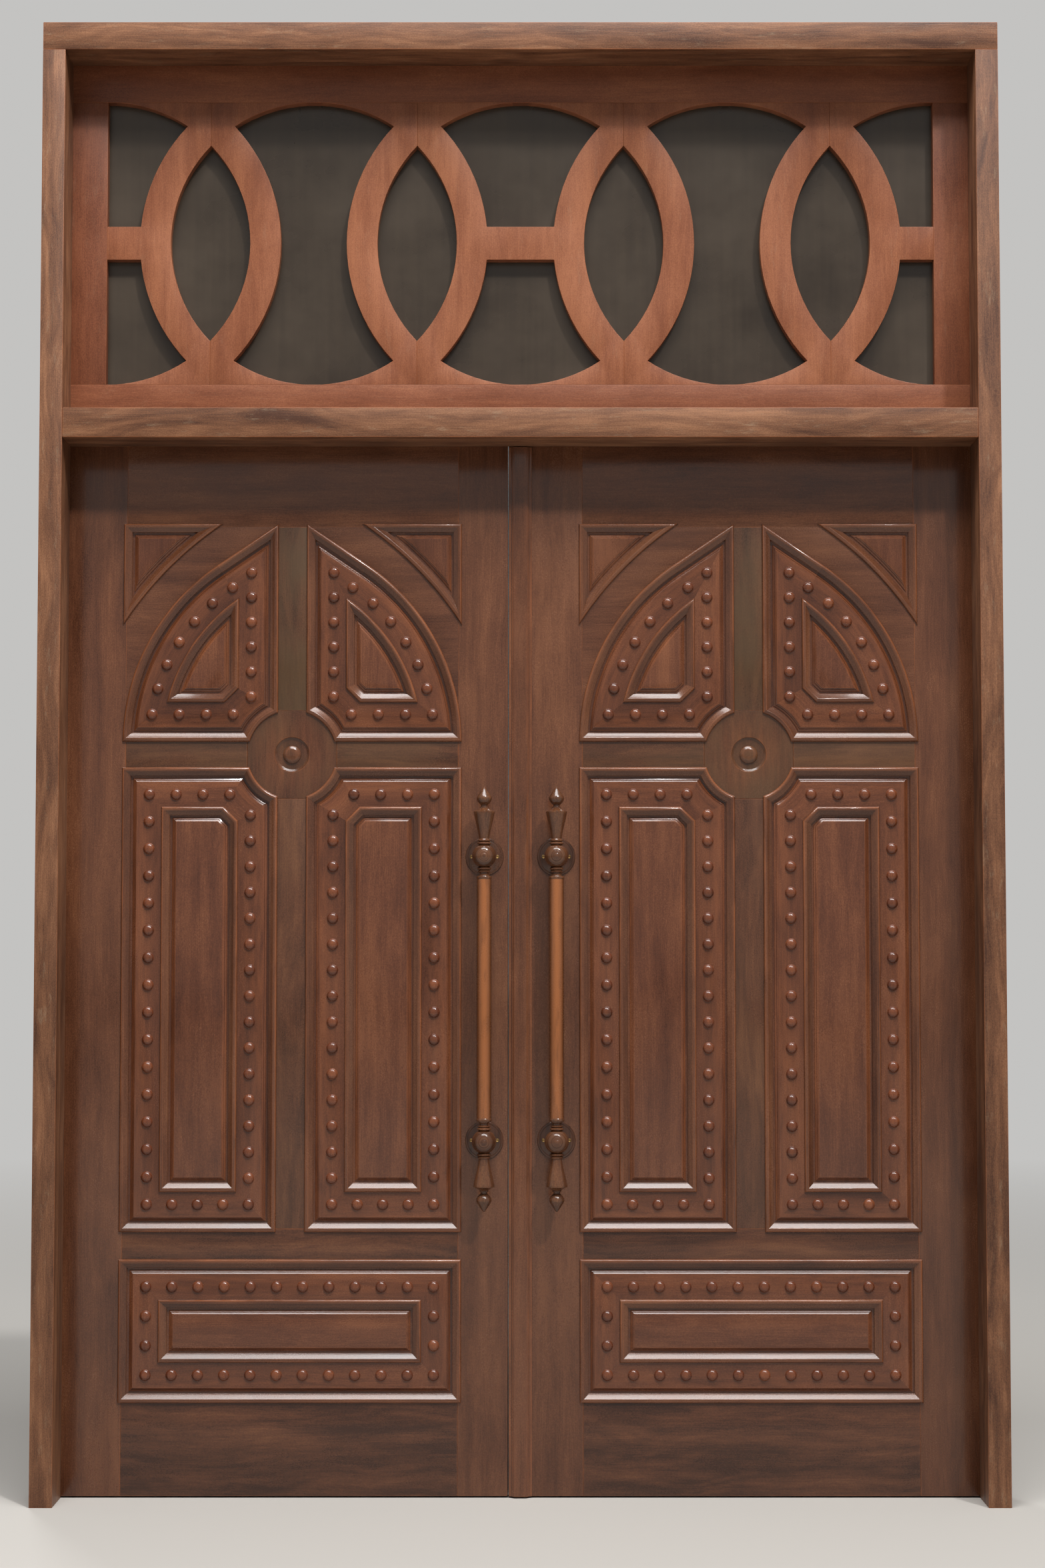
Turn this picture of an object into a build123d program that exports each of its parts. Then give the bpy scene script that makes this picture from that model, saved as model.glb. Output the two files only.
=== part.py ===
from build123d import *
import math
import os

# Double-leaf carved temple door in its frame, with a fretwork transom light above.
# Millimetres. X runs to the right, Y into the wall, Z up. The origin is on the floor,
# midway between the jambs, in the plane of the leaves' front faces.

os.makedirs("parts", exist_ok=True)

# Frame
jamb_face = 52.0
head_face = 64.0
rail_face = 69.0
reveal_depth = 128.0
rebate = 15.0

# Leaves
leaf_thickness = 48.0
stop_gap = 0.3
edge_gap = 3.0
meeting_gap = 3.0
floor_gap = 4.0
hinge_margin = 127.0
meeting_margin = 136.0
panel_width = 361.0
muntin_sight = 65.0
bottom_rail_sight = 210.0
bottom_panel_height = 327.0
lock_rail_sight = 61.0
long_panel_height = 1070.0
cross_rail_sight = 59.0
arch_height = 509.0
top_rail_sight = 181.0

# Panels: everything is set inwards from the moulding's outer edge
arch_straight = 172.8
hub_radius = 102.0
spandrel_width = 232.0
spandrel_height = 238.0
spandrel_bow = 17.0
moulding_lip = 8.0
moulding_nose = 4.5
moulding_width = 15.0
moulding_rise = 7.0
margin_depth = 8.0
margin_width = 9.0
bevel_width = 11.0
band_width = 91.5
band_chamfer = 33.0
panel_play = 0.5
band_back = 38.0
field_back = 34.0
stud_radius = 13.5
stud_height = 8.0
stud_sides = 5
stud_gap = 60.0
corner_clear = 48.0
column_count = 5
column_gap = 58.0

# Cover strip on the right leaf
strip_width = 53.0
strip_flat = 31.0
strip_rise = 11.0
strip_edge = 3.0
strip_step = 4.5
strip_top_gap = 2.0

# Hub rosette
rosette_radius = 41.0
rosette_groove = 5.0
knob_radius = 21.0
knob_rise = 4.0
knob_taper = 2.0
rosette_sides = 16

# Fretwork
end_circle = 2
circle_inner = 335.0
ring_width = 72.0
light_stile = 82.0
light_bottom_rail = 77.0
light_top_rail = 87.0
light_bar = 78.0
rail_lap = 0.5
glue_line = 0.1
fretwork_thickness = 30.0
rebate_play = 2.0
glass_thickness = 6.0
bead_width = 20.0
bead_joint = 0.3

# Handles
handle_offset = 83.0
handle_standoff = 60.0
handle_top = 1464.0
handle_bottom = 812.0
rod_radius = 17.0
rod_reach = 52.0
ball_radius = 28.0
ball_slice = 25.0
ball_bands = 4
ring_radius = 17.0
ring_level = 32.0
neck_level = 40.0
neck_radius = 9.5
cup_radius = 24.5
cup_neck = 12.5
cup_start = 44.0
cup_end = 102.0
flange_rise = 10.0
onion_radius = 16.5
onion_centre = 134.0
finial_tip = 159.0
finial_flat = 1.5
post_radius = 9.0
plate_radius = 44.0
plate_thickness = 5.0
plate_sides = 16
turned_sides = 10
post_sides = 8

# Hinges
hinge_count = 3
hinge_height = 120.0
hinge_end = 220.0
plate_sheet = 2.5
plate_reach = 38.0
knuckle_radius = 7.0
knuckle_play = 0.4
pin_radius = 3.0
pin_clearance = 0.1
hinge_sides = 8

# Bolts
bolt_offset = 95.0
bolt_size = 12.0
bolt_length = 260.0
bolt_throw = 40.0
bolt_clearance = 0.3
bolt_top_gap = 5.0
guide_width = 30.0
guide_height = 22.0
guide_depth = 20.0
guide_inset = 25.0
thumb_reach = 18.0
thumb_height = 8.0
thumb_gap = 3.0
keeper_lift = 4.0
keeper_height = 20.0

# Worked-out lines
zone_inner = -meeting_margin
zone_outer = zone_inner - 2 * panel_width - muntin_sight
zone_mid = (zone_outer + zone_inner) / 2
muntin_left = zone_mid - muntin_sight / 2

bottom_low = bottom_rail_sight + floor_gap
bottom_high = bottom_low + bottom_panel_height
long_low = bottom_high + lock_rail_sight
long_high = long_low + long_panel_height
arch_low = long_high + cross_rail_sight
arch_high = arch_low + arch_height
arch_span = panel_width**2 + arch_height**2 - arch_straight**2
arch_radius = arch_span / (2 * panel_width)
hub_level = (long_high + arch_low) / 2

half_clear = hinge_margin - zone_outer
clear_width = 2 * half_clear
clear_height = arch_high + top_rail_sight
frame_half = half_clear + jamb_face
light_bottom = clear_height + rail_face
light_top = light_bottom + light_bottom_rail + 2 * circle_inner + light_top_rail
frame_height = light_top + head_face
rebate_half = half_clear + rebate
leaf_outer = rebate_half - edge_gap
leaf_top = clear_height + rebate - edge_gap
leaf_height = leaf_top - floor_gap
strip_half = strip_width / 2
left_meeting = -strip_half - meeting_gap
right_meeting = -strip_half

field_inset = moulding_width + margin_width + bevel_width
stud_line = (field_inset + band_width) / 2
inner_board = moulding_lip + panel_play
bar_edge = muntin_sight / 2 + moulding_lip
cross_edge = cross_rail_sight / 2 + moulding_lip
hub_disc = hub_radius + moulding_lip
hub_half_z = math.sqrt(hub_disc**2 - bar_edge**2)
hub_half_x = math.sqrt(hub_disc**2 - cross_edge**2)

mid_plane = Plane.YZ.offset(zone_mid)
front = Plane.XZ
stood_up = (90, 0, 0)


def write(piece, name):
    """Label one finished piece and write its file."""
    piece.part.label = name
    export_step(piece.part, f"parts/{name}.step")


def write_pair(piece, name):
    """Write a left piece and its mirror twin on the right."""
    write(piece, "left_" + name)
    with BuildPart() as twin:
        mirror(piece.part, about=Plane.YZ)
    write(twin, "right_" + name)


# Outlines of the panels, at the moulding's outer edge. They lie flat, with the leaf's
# height along Y and its front upwards, and the finished pieces are stood up.

def tangent_angle(radius, width, height):
    """Angle up the arch at which it leaves the circle and runs straight to its tip."""
    overlap = radius - width
    reach = math.hypot(height, overlap)
    return math.degrees(math.asin(radius / reach) - math.atan2(overlap, height))


def arch_edge(hollow):
    """Upper panel beside the muntin; hollow cuts its lower corner round the hub."""
    turn = tangent_angle(arch_radius, panel_width, arch_height)
    centre = (zone_outer + arch_radius, arch_low)
    tip = (muntin_left, arch_high)
    with BuildLine() as edge:
        curve = CenterArc(centre, arch_radius, 180 - turn, turn)
        Line(tip, curve @ 0)
        hub_corner(tip, curve @ 1, arch_low - hub_level, hollow)
    return edge


def long_edge(hollow):
    """Tall panel below the cross rail, hollowed at its upper corner by the hub."""
    low_left = (zone_outer, long_low)
    low_right = (muntin_left, long_low)
    with BuildLine() as edge:
        Line(low_left, low_right)
        hub_corner(low_right, (zone_outer, long_high), long_high - hub_level, hollow)
        Line((zone_outer, long_high), low_left)
    return edge


def hub_corner(start, end, level, hollow):
    """Run from the muntin to the cross rail, round the hub or to a square corner."""
    if not hollow:
        Polyline(start, (muntin_left, hub_level + level), end)
        return
    rise = math.copysign(math.sqrt(hub_radius**2 - (muntin_sight / 2) ** 2), level)
    run = math.sqrt(hub_radius**2 - level**2)
    first = math.degrees(math.atan2(rise, -muntin_sight / 2))
    last = math.degrees(math.atan2(level, -run))
    turn = (last - first + 180) % 360 - 180
    corner = CenterArc((zone_mid, hub_level), hub_radius, first, turn)
    Line(start, corner @ 0)
    Line(corner @ 1, end)


def spandrel_edge(hollow):
    """Corner panel above the arch, with one side bowed along it."""
    corner = (zone_outer, arch_high)
    tip = (zone_outer + spandrel_width, arch_high)
    foot = (zone_outer, arch_high - spandrel_height)
    with BuildLine() as edge:
        Polyline(tip, corner, foot)
        SagittaArc(tip, foot, -spandrel_bow)
    return edge


def bottom_edge(hollow):
    """Wide panel above the bottom rail."""
    with BuildLine() as edge:
        Polyline(
            (zone_outer, bottom_low),
            (zone_inner, bottom_low),
            (zone_inner, bottom_high),
            (zone_outer, bottom_high),
            close=True,
        )
    return edge


def outline(draw, inset, height=0.0):
    """Face of a panel outline, set inwards, at a height in front of the leaf."""
    with BuildSketch(Plane.XY.offset(height)) as face:
        add(draw(True).line)
        make_face()
        if inset:
            offset(amount=-inset, kind=Kind.INTERSECTION)
    return face.sketch.face()


def inner_outline(draw, inset, height=0.0):
    """Face inside the stud band; the corner at the hub is cut at 45 degrees."""
    hub_side = (muntin_left, hub_level)
    with BuildSketch(Plane.XY.offset(height)) as face:
        add(draw(False).line)
        make_face()
        offset(amount=-band_width, kind=Kind.INTERSECTION)
        if draw is not bottom_edge:
            chamfer(face.vertices().sort_by_distance(hub_side)[0], band_chamfer)
        if inset:
            offset(amount=-inset, kind=Kind.INTERSECTION)
    return face.sketch.face()


def slope(run, rise):
    """Draft angle of a face that moves in by run while it rises by rise."""
    return math.degrees(math.atan2(run, rise))


def tapered(face, rise, run):
    """Solid on a flat face that narrows by run all round, upwards or downwards."""
    with BuildPart() as piece:
        extrude(face, amount=abs(rise), taper=slope(run, abs(rise)))
    if rise < 0:
        return mirror(piece.part, about=Plane.XY.offset(face.center().Z), mode=Mode.PRIVATE)
    return piece.part


def moulding(face_at, draw):
    """Mitred bolection moulding: a nose over the frame, and a slope down to the margin."""
    drop = moulding_rise + margin_depth
    with BuildPart() as ring:
        add(tapered(face_at(draw, 0.0), moulding_rise, moulding_nose))
        extrude(face_at(draw, moulding_lip), amount=-margin_depth)
        recess = face_at(draw, moulding_nose, moulding_rise)
        add(tapered(recess, -drop, moulding_width - moulding_nose), mode=Mode.SUBTRACT)
    return ring.part


def raised(face_at, draw, back):
    """Board with a flat margin, a bevel and a raised field."""
    step = moulding_width + margin_width
    with BuildPart() as board:
        extrude(face_at(draw, inner_board, -margin_depth), amount=margin_depth - back)
        add(tapered(face_at(draw, step, -margin_depth), margin_depth, bevel_width))
    return board.part


def doubled(pieces):
    """The pieces beside the hinge stile and their twins across the muntin."""
    for piece in pieces:
        add(piece, rotation=stood_up)
        twin = mirror(piece, about=mid_plane, mode=Mode.PRIVATE)
        add(twin, rotation=stood_up)


# Boards of a leaf

def board(left, right, low, high, cuts=()):
    """Board of the leaf's thickness between two uprights and two levels."""
    with BuildSketch(front) as face:
        with Locations(((left + right) / 2, (low + high) / 2)):
            Rectangle(right - left, high - low)
        for cut in cuts:
            add(cut, mode=Mode.SUBTRACT)
    return extrude(face.sketch, amount=-leaf_thickness)


def hinge_levels():
    """Middle height of each hinge."""
    low = floor_gap + hinge_end
    high = leaf_top - hinge_end
    return [low + (high - low) * i / (hinge_count - 1) for i in range(hinge_count)]


def hinge_pocket(edge, side):
    """Shallow pocket for a hinge plate, sunk from the edge towards side."""
    depth = (leaf_thickness + plate_reach_start) / 2
    for level in hinge_levels():
        with Locations((edge + side * plate_sheet / 2, depth, level)):
            Box(
                plate_sheet,
                leaf_thickness - plate_reach_start,
                hinge_height,
                mode=Mode.SUBTRACT,
            )


plate_reach_start = leaf_thickness - plate_reach
rail_left = zone_outer + moulding_lip
rail_right = zone_inner - moulding_lip

with BuildPart() as hinge_stile:
    board(-leaf_outer, rail_left, floor_gap, leaf_top)
    hinge_pocket(-leaf_outer, 1)
write_pair(hinge_stile, "hinge_stile")

with BuildPart() as left_meeting_stile:
    board(rail_right, left_meeting, floor_gap, leaf_top)
write(left_meeting_stile, "left_meeting_stile")

with BuildPart() as right_meeting_stile:
    board(right_meeting, -rail_right, floor_gap, leaf_top)
write(right_meeting_stile, "right_meeting_stile")

with BuildPart() as top_rail:
    board(rail_left, rail_right, arch_high - moulding_lip, leaf_top)
write_pair(top_rail, "top_rail")

with BuildPart() as arch_braces:
    openings = [outline(draw, moulding_lip) for draw in (arch_edge, spandrel_edge)]
    with BuildSketch(front) as hub:
        with Locations((zone_mid, hub_level)):
            Circle(hub_disc)
    openings.append(hub.sketch)
    board(
        rail_left,
        muntin_left - moulding_lip,
        arch_low + moulding_lip,
        arch_high - moulding_lip,
        openings,
    )
    mirror(about=mid_plane)
write_pair(arch_braces, "arch_braces")

with BuildPart() as upper_muntin:
    board(
        zone_mid - bar_edge,
        zone_mid + bar_edge,
        hub_level + hub_half_z,
        arch_high - moulding_lip,
    )
write_pair(upper_muntin, "upper_muntin")

with BuildPart() as lower_muntin:
    board(
        zone_mid - bar_edge,
        zone_mid + bar_edge,
        long_low + moulding_lip,
        hub_level - hub_half_z,
    )
write_pair(lower_muntin, "lower_muntin")

with BuildPart() as cross_rails:
    board(
        rail_left,
        zone_mid - hub_half_x,
        long_high - moulding_lip,
        arch_low + moulding_lip,
    )
    mirror(about=mid_plane)
write_pair(cross_rails, "cross_rails")

with BuildPart() as lock_rail:
    board(rail_left, rail_right, bottom_high - moulding_lip, long_low + moulding_lip)
write_pair(lock_rail, "lock_rail")

with BuildPart() as bottom_rail:
    board(rail_left, rail_right, floor_gap, bottom_low + moulding_lip)
write_pair(bottom_rail, "bottom_rail")

# Hub block with its turned rosette: a groove, a ring and a round knob
with BuildPart() as hub_block:
    with BuildSketch(front) as face:
        with Locations((zone_mid, hub_level)):
            Circle(hub_disc)
            Rectangle(2 * hub_half_x, 2 * hub_half_z, mode=Mode.INTERSECT)
    extrude(amount=-leaf_thickness)
    with BuildSketch(front) as groove:
        with Locations((zone_mid, hub_level)):
            RegularPolygon(rosette_radius, rosette_sides)
    extrude(amount=-rosette_groove, mode=Mode.SUBTRACT)
    with BuildSketch(Plane((zone_mid, hub_level, -rosette_groove)), mode=Mode.PRIVATE) as knob:
        RegularPolygon(knob_radius, rosette_sides)
    knob_height = rosette_groove + knob_rise
    add(tapered(knob.sketch.face(), knob_height, knob_taper), rotation=stood_up)
write_pair(hub_block, "hub_block")

# Panels
side_panels = (arch_edge, long_edge)

with BuildPart() as outer_mouldings:
    doubled([moulding(outline, draw) for draw in (*side_panels, spandrel_edge)])
    add(moulding(outline, bottom_edge), rotation=stood_up)
write_pair(outer_mouldings, "outer_mouldings")

with BuildPart() as inner_mouldings:
    doubled([moulding(inner_outline, draw) for draw in side_panels])
    add(moulding(inner_outline, bottom_edge), rotation=stood_up)
write_pair(inner_mouldings, "inner_mouldings")


def band(draw):
    """Stud band: a raised frame of boards round the middle panel."""
    with BuildPart() as frame:
        add(raised(outline, draw, band_back))
        extrude(
            inner_outline(draw, moulding_lip, stud_height),
            amount=-(stud_height + band_back),
            mode=Mode.SUBTRACT,
        )
    return frame.part


with BuildPart() as stud_bands:
    doubled([band(draw) for draw in side_panels])
    add(band(bottom_edge), rotation=stood_up)
write_pair(stud_bands, "stud_bands")

with BuildPart() as raised_panels:
    doubled([raised(inner_outline, draw, field_back) for draw in side_panels])
    doubled([raised(outline, spandrel_edge, field_back)])
    add(raised(inner_outline, bottom_edge, field_back), rotation=stood_up)
write_pair(raised_panels, "raised_panels")


# Studs, evenly spaced along the middle of each band

def spaced(start, end, count):
    """Points that cut the line from start to end into equal gaps, both ends included."""
    return [
        tuple(a + (b - a) * i / count for a, b in zip(start, end))
        for i in range(count + 1)
    ]


def gaps(length):
    """Number of stud gaps that fit a length."""
    return round(length / stud_gap)


def long_studs():
    """Studs of a tall panel, without the corner that the hub takes."""
    left = zone_outer + stud_line
    right = muntin_left - stud_line
    low = long_low + stud_line
    high = long_high - stud_line
    side = gaps(high - corner_clear - low)
    across = gaps(right - left)
    points = spaced((left, low), (left, high), side)
    points += spaced((left, low), (right, low), across)[1:]
    points += spaced((left, high), (right - corner_clear, high), across - 1)[1:]
    points += spaced((right, low), (right, high - corner_clear), side)[1:]
    return points


def arch_studs():
    """Studs of an upper panel: round the arch, along its foot and up the muntin."""
    right = muntin_left - stud_line
    low = arch_low + stud_line
    centre = (zone_outer + arch_radius, arch_low)
    radius = arch_radius - stud_line
    start = math.asin((stud_line + stud_gap) / radius)
    end = math.radians(tangent_angle(arch_radius, panel_width, arch_height))
    count = gaps((end - start) * radius)
    turns = [start + (end - start) * i / count for i in range(count + 1)]
    points = [
        (centre[0] - radius * math.cos(turn), centre[1] + radius * math.sin(turn))
        for turn in turns
    ]
    left = centre[0] - math.sqrt(radius**2 - stud_line**2)
    foot_end = right - corner_clear + stud_radius / 2
    column_start = low + corner_clear - stud_radius / 2
    points += spaced((left, low), (foot_end, low), gaps(foot_end - left))
    points += spaced(
        (right, column_start),
        (right, column_start + column_count * column_gap),
        column_count,
    )
    return points


def bottom_studs():
    """Studs round the wide bottom panel."""
    left, right = zone_outer + stud_line, zone_inner - stud_line
    low, high = bottom_low + stud_line, bottom_high - stud_line
    across = gaps(right - left)
    side = gaps(high - low)
    points = spaced((left, low), (right, low), across)
    points += spaced((left, high), (right, high), across)
    points += spaced((left, low), (left, high), side)[1:-1]
    points += spaced((right, low), (right, high), side)[1:-1]
    return points


with BuildPart() as stud:
    with BuildSketch(front) as foot:
        RegularPolygon(stud_radius, stud_sides)
    loft(sections=[foot.sketch.face(), Vertex(0, -stud_height, 0)])


def mirrored(points):
    """The points with their twins across the muntin."""
    return points + [(2 * zone_mid - x, z) for x, z in points]


stud_points = mirrored(arch_studs() + long_studs()) + bottom_studs()
with BuildPart() as studs:
    with Locations(*[(x, 0, z) for x, z in stud_points]):
        add(stud.part)
write_pair(studs, "studs")
print("studs in a leaf:", len(stud_points))

# Cover strip, planted on the right leaf and flush with its meeting edge
with BuildPart() as cover_strip:
    with BuildSketch(Plane.XY.offset(floor_gap)) as section:
        with BuildLine() as half:
            flat = strip_flat / 2
            middle = (strip_half + flat - strip_step / 2) / 2
            Polyline(
                (0, 0),
                (strip_half, 0),
                (strip_half, -strip_edge),
                (strip_half - strip_step, -strip_edge),
                (middle, -(strip_edge + strip_rise) / 2),
                (flat + strip_step / 2, -(strip_edge + strip_rise) / 2),
                (flat, -strip_rise),
                (0, -strip_rise),
                close=True,
            )
        make_face()
        mirror(about=Plane.YZ)
    extrude(amount=clear_height - strip_top_gap - floor_gap)
write(cover_strip, "right_cover_strip")

# Frame

def frame_bar(length, section_points, plane):
    """Bar of the frame with its rebate, drawn in section and run along its length."""
    with BuildSketch(plane) as section:
        with BuildLine():
            Polyline(*section_points, close=True)
        make_face()
    extrude(section.sketch, amount=length)


with BuildPart() as jamb:
    jamb_section = [
        (-frame_half, -reveal_depth),
        (-half_clear, -reveal_depth),
        (-half_clear, -stop_gap),
        (-rebate_half, -stop_gap),
        (-rebate_half, leaf_thickness),
        (-frame_half, leaf_thickness),
    ]
    frame_bar(light_top, jamb_section, Plane.XY)
    hinge_pocket(-rebate_half, -1)
write(jamb, "left_jamb")
with BuildPart() as right_jamb:
    mirror(jamb.part, about=Plane.YZ)
write(right_jamb, "right_jamb")

with BuildPart() as head:
    head_section = [
        (-reveal_depth, light_top),
        (-stop_gap, light_top),
        (-stop_gap, light_top + rebate),
        (leaf_thickness, light_top + rebate),
        (leaf_thickness, frame_height),
        (-reveal_depth, frame_height),
    ]
    frame_bar(rebate_half * 2, head_section, Plane.YZ.offset(-rebate_half))
    for side in (-1, 1):
        with Locations(
            (
                side * (rebate_half + frame_half) / 2,
                (leaf_thickness - reveal_depth) / 2,
                light_top + head_face / 2,
            )
        ):
            Box(frame_half - rebate_half, leaf_thickness + reveal_depth, head_face)
write(head, "head")

with BuildPart() as transom_rail:
    rail_section = [
        (-reveal_depth, clear_height),
        (-stop_gap, clear_height),
        (-stop_gap, clear_height + rebate),
        (leaf_thickness, clear_height + rebate),
        (leaf_thickness, light_bottom - rebate),
        (-stop_gap, light_bottom - rebate),
        (-stop_gap, light_bottom),
        (-reveal_depth, light_bottom),
    ]
    frame_bar(clear_width, rail_section, Plane.YZ.offset(-half_clear))
    for side in (-1, 1):
        with Locations(
            (
                side * (half_clear + rebate / 2),
                (leaf_thickness - stop_gap) / 2,
                (clear_height + light_bottom) / 2,
            )
        ):
            Box(rebate, leaf_thickness + stop_gap, rail_face - 2 * rebate)
write(transom_rail, "transom_rail")

# Fretwork of interlaced circles
back_plane = front.offset(stop_gap)
seat_low = light_bottom - rebate + rebate_play
seat_high = light_top + rebate - rebate_play
seat_half = rebate_half - rebate_play
circle_level = light_bottom + light_bottom_rail + circle_inner
lattice_half = half_clear - light_stile
circle_pitch = lattice_half / end_circle
lattice_low = circle_level - circle_inner + rail_lap
lattice_high = circle_level + circle_inner - rail_lap


def slab(left, right, low, high, thickness=fretwork_thickness, start=stop_gap):
    """Flat board of the transom light."""
    with BuildSketch(front.offset(start)) as face:
        with Locations(((left + right) / 2, (low + high) / 2)):
            Rectangle(right - left, high - low)
    extrude(face.sketch, amount=-thickness)


with BuildPart() as fretwork_stiles:
    slab(-seat_half, -lattice_half, lattice_low, lattice_high)
    slab(lattice_half, seat_half, lattice_low, lattice_high)
write(fretwork_stiles, "fretwork_stiles")

with BuildPart() as fretwork_rails:
    slab(-seat_half, seat_half, seat_low, lattice_low)
    slab(-seat_half, seat_half, lattice_high, seat_high)
write(fretwork_rails, "fretwork_rails")


def circles(radius, indices):
    """Discs of the interlaced circles."""
    with BuildSketch(back_plane) as discs:
        for i in indices:
            with Locations((i * circle_pitch, circle_level)):
                Circle(radius)
    return discs.sketch


def cell(index):
    """One board of the lattice, pierced by the circle's middle and half of each crossing."""
    half = (circle_pitch - glue_line) / 2
    left = max(-lattice_half, index * circle_pitch - half)
    right = min(lattice_half, index * circle_pitch + half)
    outer = circle_inner + ring_width
    with BuildSketch(back_plane) as waist:
        add(circles(circle_inner, [index]))
        add(circles(outer, [index - 1, index + 1]), mode=Mode.SUBTRACT)
        if index % 2 == 0:
            with Locations((index * circle_pitch, circle_level)):
                Rectangle(circle_pitch, light_bar, mode=Mode.SUBTRACT)
    with BuildSketch(back_plane) as lens:
        for step in (-1, 1):
            if abs(index + step) <= end_circle:
                with BuildSketch(back_plane, mode=Mode.PRIVATE) as one:
                    add(circles(circle_inner, [index]))
                    add(circles(circle_inner, [index + step]), mode=Mode.INTERSECT)
                add(one.sketch)
    with BuildPart() as board_piece:
        slab(left, right, lattice_low, lattice_high)
        for hole in (waist.sketch, lens.sketch):
            extrude(hole, amount=-fretwork_thickness, mode=Mode.SUBTRACT)
    return board_piece.part


with BuildPart() as fretwork_boards:
    for index in range(-end_circle, end_circle + 1):
        add(cell(index))
write(fretwork_boards, "fretwork_boards")

glass_front = fretwork_thickness - stop_gap
with BuildPart() as transom_glass:
    slab(-seat_half, seat_half, seat_low, seat_high, glass_thickness, -glass_front)
write(transom_glass, "transom_glass")

bead_front = glass_front + glass_thickness
bead_depth = leaf_thickness - bead_front
with BuildPart() as glazing_beads:
    low, high = light_bottom - rebate, light_top + rebate
    slab(-rebate_half, rebate_half, low, low + bead_width, bead_depth, -bead_front)
    slab(-rebate_half, rebate_half, high - bead_width, high, bead_depth, -bead_front)
    for side in (-1, 1):
        ends = sorted((side * rebate_half, side * (rebate_half - bead_width)))
        inner = (low + bead_width + bead_joint, high - bead_width - bead_joint)
        slab(*ends, *inner, bead_depth, -bead_front)
write(glazing_beads, "glazing_beads")

# Handles: turned ends on a wooden rod, each end on a round plate
with BuildPart() as handle_rod:
    with BuildSketch(Plane.XY.offset(handle_bottom + rod_reach)) as face:
        with Locations((-handle_offset, -handle_standoff)):
            RegularPolygon(rod_radius, turned_sides)
    extrude(amount=handle_top - handle_bottom - 2 * rod_reach)
write_pair(handle_rod, "handle_rod")

ball_turn = math.asin(ball_slice / ball_radius)
ball_profile = [
    (ball_radius * math.cos(turn), ball_radius * math.sin(turn))
    for turn in (ball_turn * (2 * i / ball_bands - 1) for i in range(ball_bands + 1))
]
end_profile = [
    (ring_radius, -rod_reach),
    (neck_radius, -neck_level),
    *ball_profile,
    (ring_radius, ring_level),
    (cup_neck, cup_start),
    (cup_radius, cup_end),
    (neck_radius, cup_end + flange_rise),
    (onion_radius, onion_centre),
    (finial_flat, finial_tip),
]
handle_middle = (handle_top + handle_bottom) / 2
flat_share = math.cos(math.pi / turned_sides)


def turned_band(near, far):
    """Band of the upper end between two rings, narrowing upwards or downwards."""
    (wide, base), (narrow, top) = sorted((near, far), reverse=True)
    level = Plane((-handle_offset, -handle_standoff, handle_top + base))
    with BuildSketch(level) as ring:
        RegularPolygon(wide, turned_sides)
    return tapered(ring.sketch.face(), top - base, (wide - narrow) * flat_share)


with BuildPart() as handle_ends:
    for near, far in zip(end_profile, end_profile[1:]):
        add(turned_band(near, far))
    with BuildSketch(front.offset(plate_thickness)) as foot:
        with Locations((-handle_offset, handle_top)):
            RegularPolygon(post_radius, post_sides)
    extrude(amount=handle_standoff - plate_thickness)
    mirror(about=Plane.XY.offset(handle_middle))
write_pair(handle_ends, "handle_ends")

with BuildPart() as handle_plates:
    with BuildSketch(front) as face:
        with Locations((-handle_offset, handle_top), (-handle_offset, handle_bottom)):
            RegularPolygon(plate_radius, plate_sides)
    extrude(amount=plate_thickness)
write_pair(handle_plates, "handle_plates")

# Lift-off hinges: the frame's plate has the lower knuckle and the leaf's plate the upper one
hinge_x = -(rebate_half + leaf_outer) / 2
hinge_y = leaf_thickness + knuckle_radius + knuckle_play
knuckle = hinge_height / 2
bore_radius = (pin_radius + pin_clearance) / math.cos(math.pi / hinge_sides)


def hinge_plate(edge, side, level, knuckle_start):
    """Sheet let into an edge, with its knuckle round the pin."""
    with BuildPart() as plate:
        with Locations(
            (
                edge + side * plate_sheet / 2,
                (leaf_thickness + plate_reach_start) / 2,
                level,
            )
        ):
            Box(plate_sheet, plate_reach, hinge_height)
        low = level + knuckle_start * knuckle + knuckle_play / 2
        with BuildSketch(Plane.XY.offset(low)) as ring:
            with Locations((hinge_x, hinge_y)):
                RegularPolygon(knuckle_radius, hinge_sides)
            with Locations((edge + side * plate_sheet / 2, leaf_thickness)):
                Rectangle(plate_sheet, 2 * (hinge_y - leaf_thickness - pin_radius))
            with Locations((hinge_x, hinge_y)):
                RegularPolygon(bore_radius, hinge_sides, mode=Mode.SUBTRACT)
        extrude(amount=knuckle - knuckle_play)
    return plate.part


with BuildPart() as hinge_plates:
    for level in hinge_levels():
        add(hinge_plate(-leaf_outer, 1, level, 0))
write_pair(hinge_plates, "hinge_plates")

with BuildPart() as frame_hinge_plates:
    for level in hinge_levels():
        add(hinge_plate(-rebate_half, -1, level, -1))
    mirror(about=Plane.YZ)
write(frame_hinge_plates, "frame_hinge_plates")

with BuildPart() as hinge_pins:
    for level in hinge_levels():
        with BuildSketch(Plane.XY.offset(level - hinge_height / 2)) as shank:
            with Locations((hinge_x, hinge_y)):
                Circle(pin_radius)
        extrude(amount=hinge_height)
    mirror(about=Plane.YZ)
write(hinge_pins, "hinge_pins")

# Bolts on the back, drawn back at rest
bolt_y = leaf_thickness + guide_depth / 2
bolt_top = leaf_top - bolt_top_gap
bolt_low = bolt_top - bolt_length
guide_high = leaf_top - guide_inset - guide_height
guide_low = bolt_low + guide_inset
thumb_low = guide_low + guide_height + thumb_gap


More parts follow.
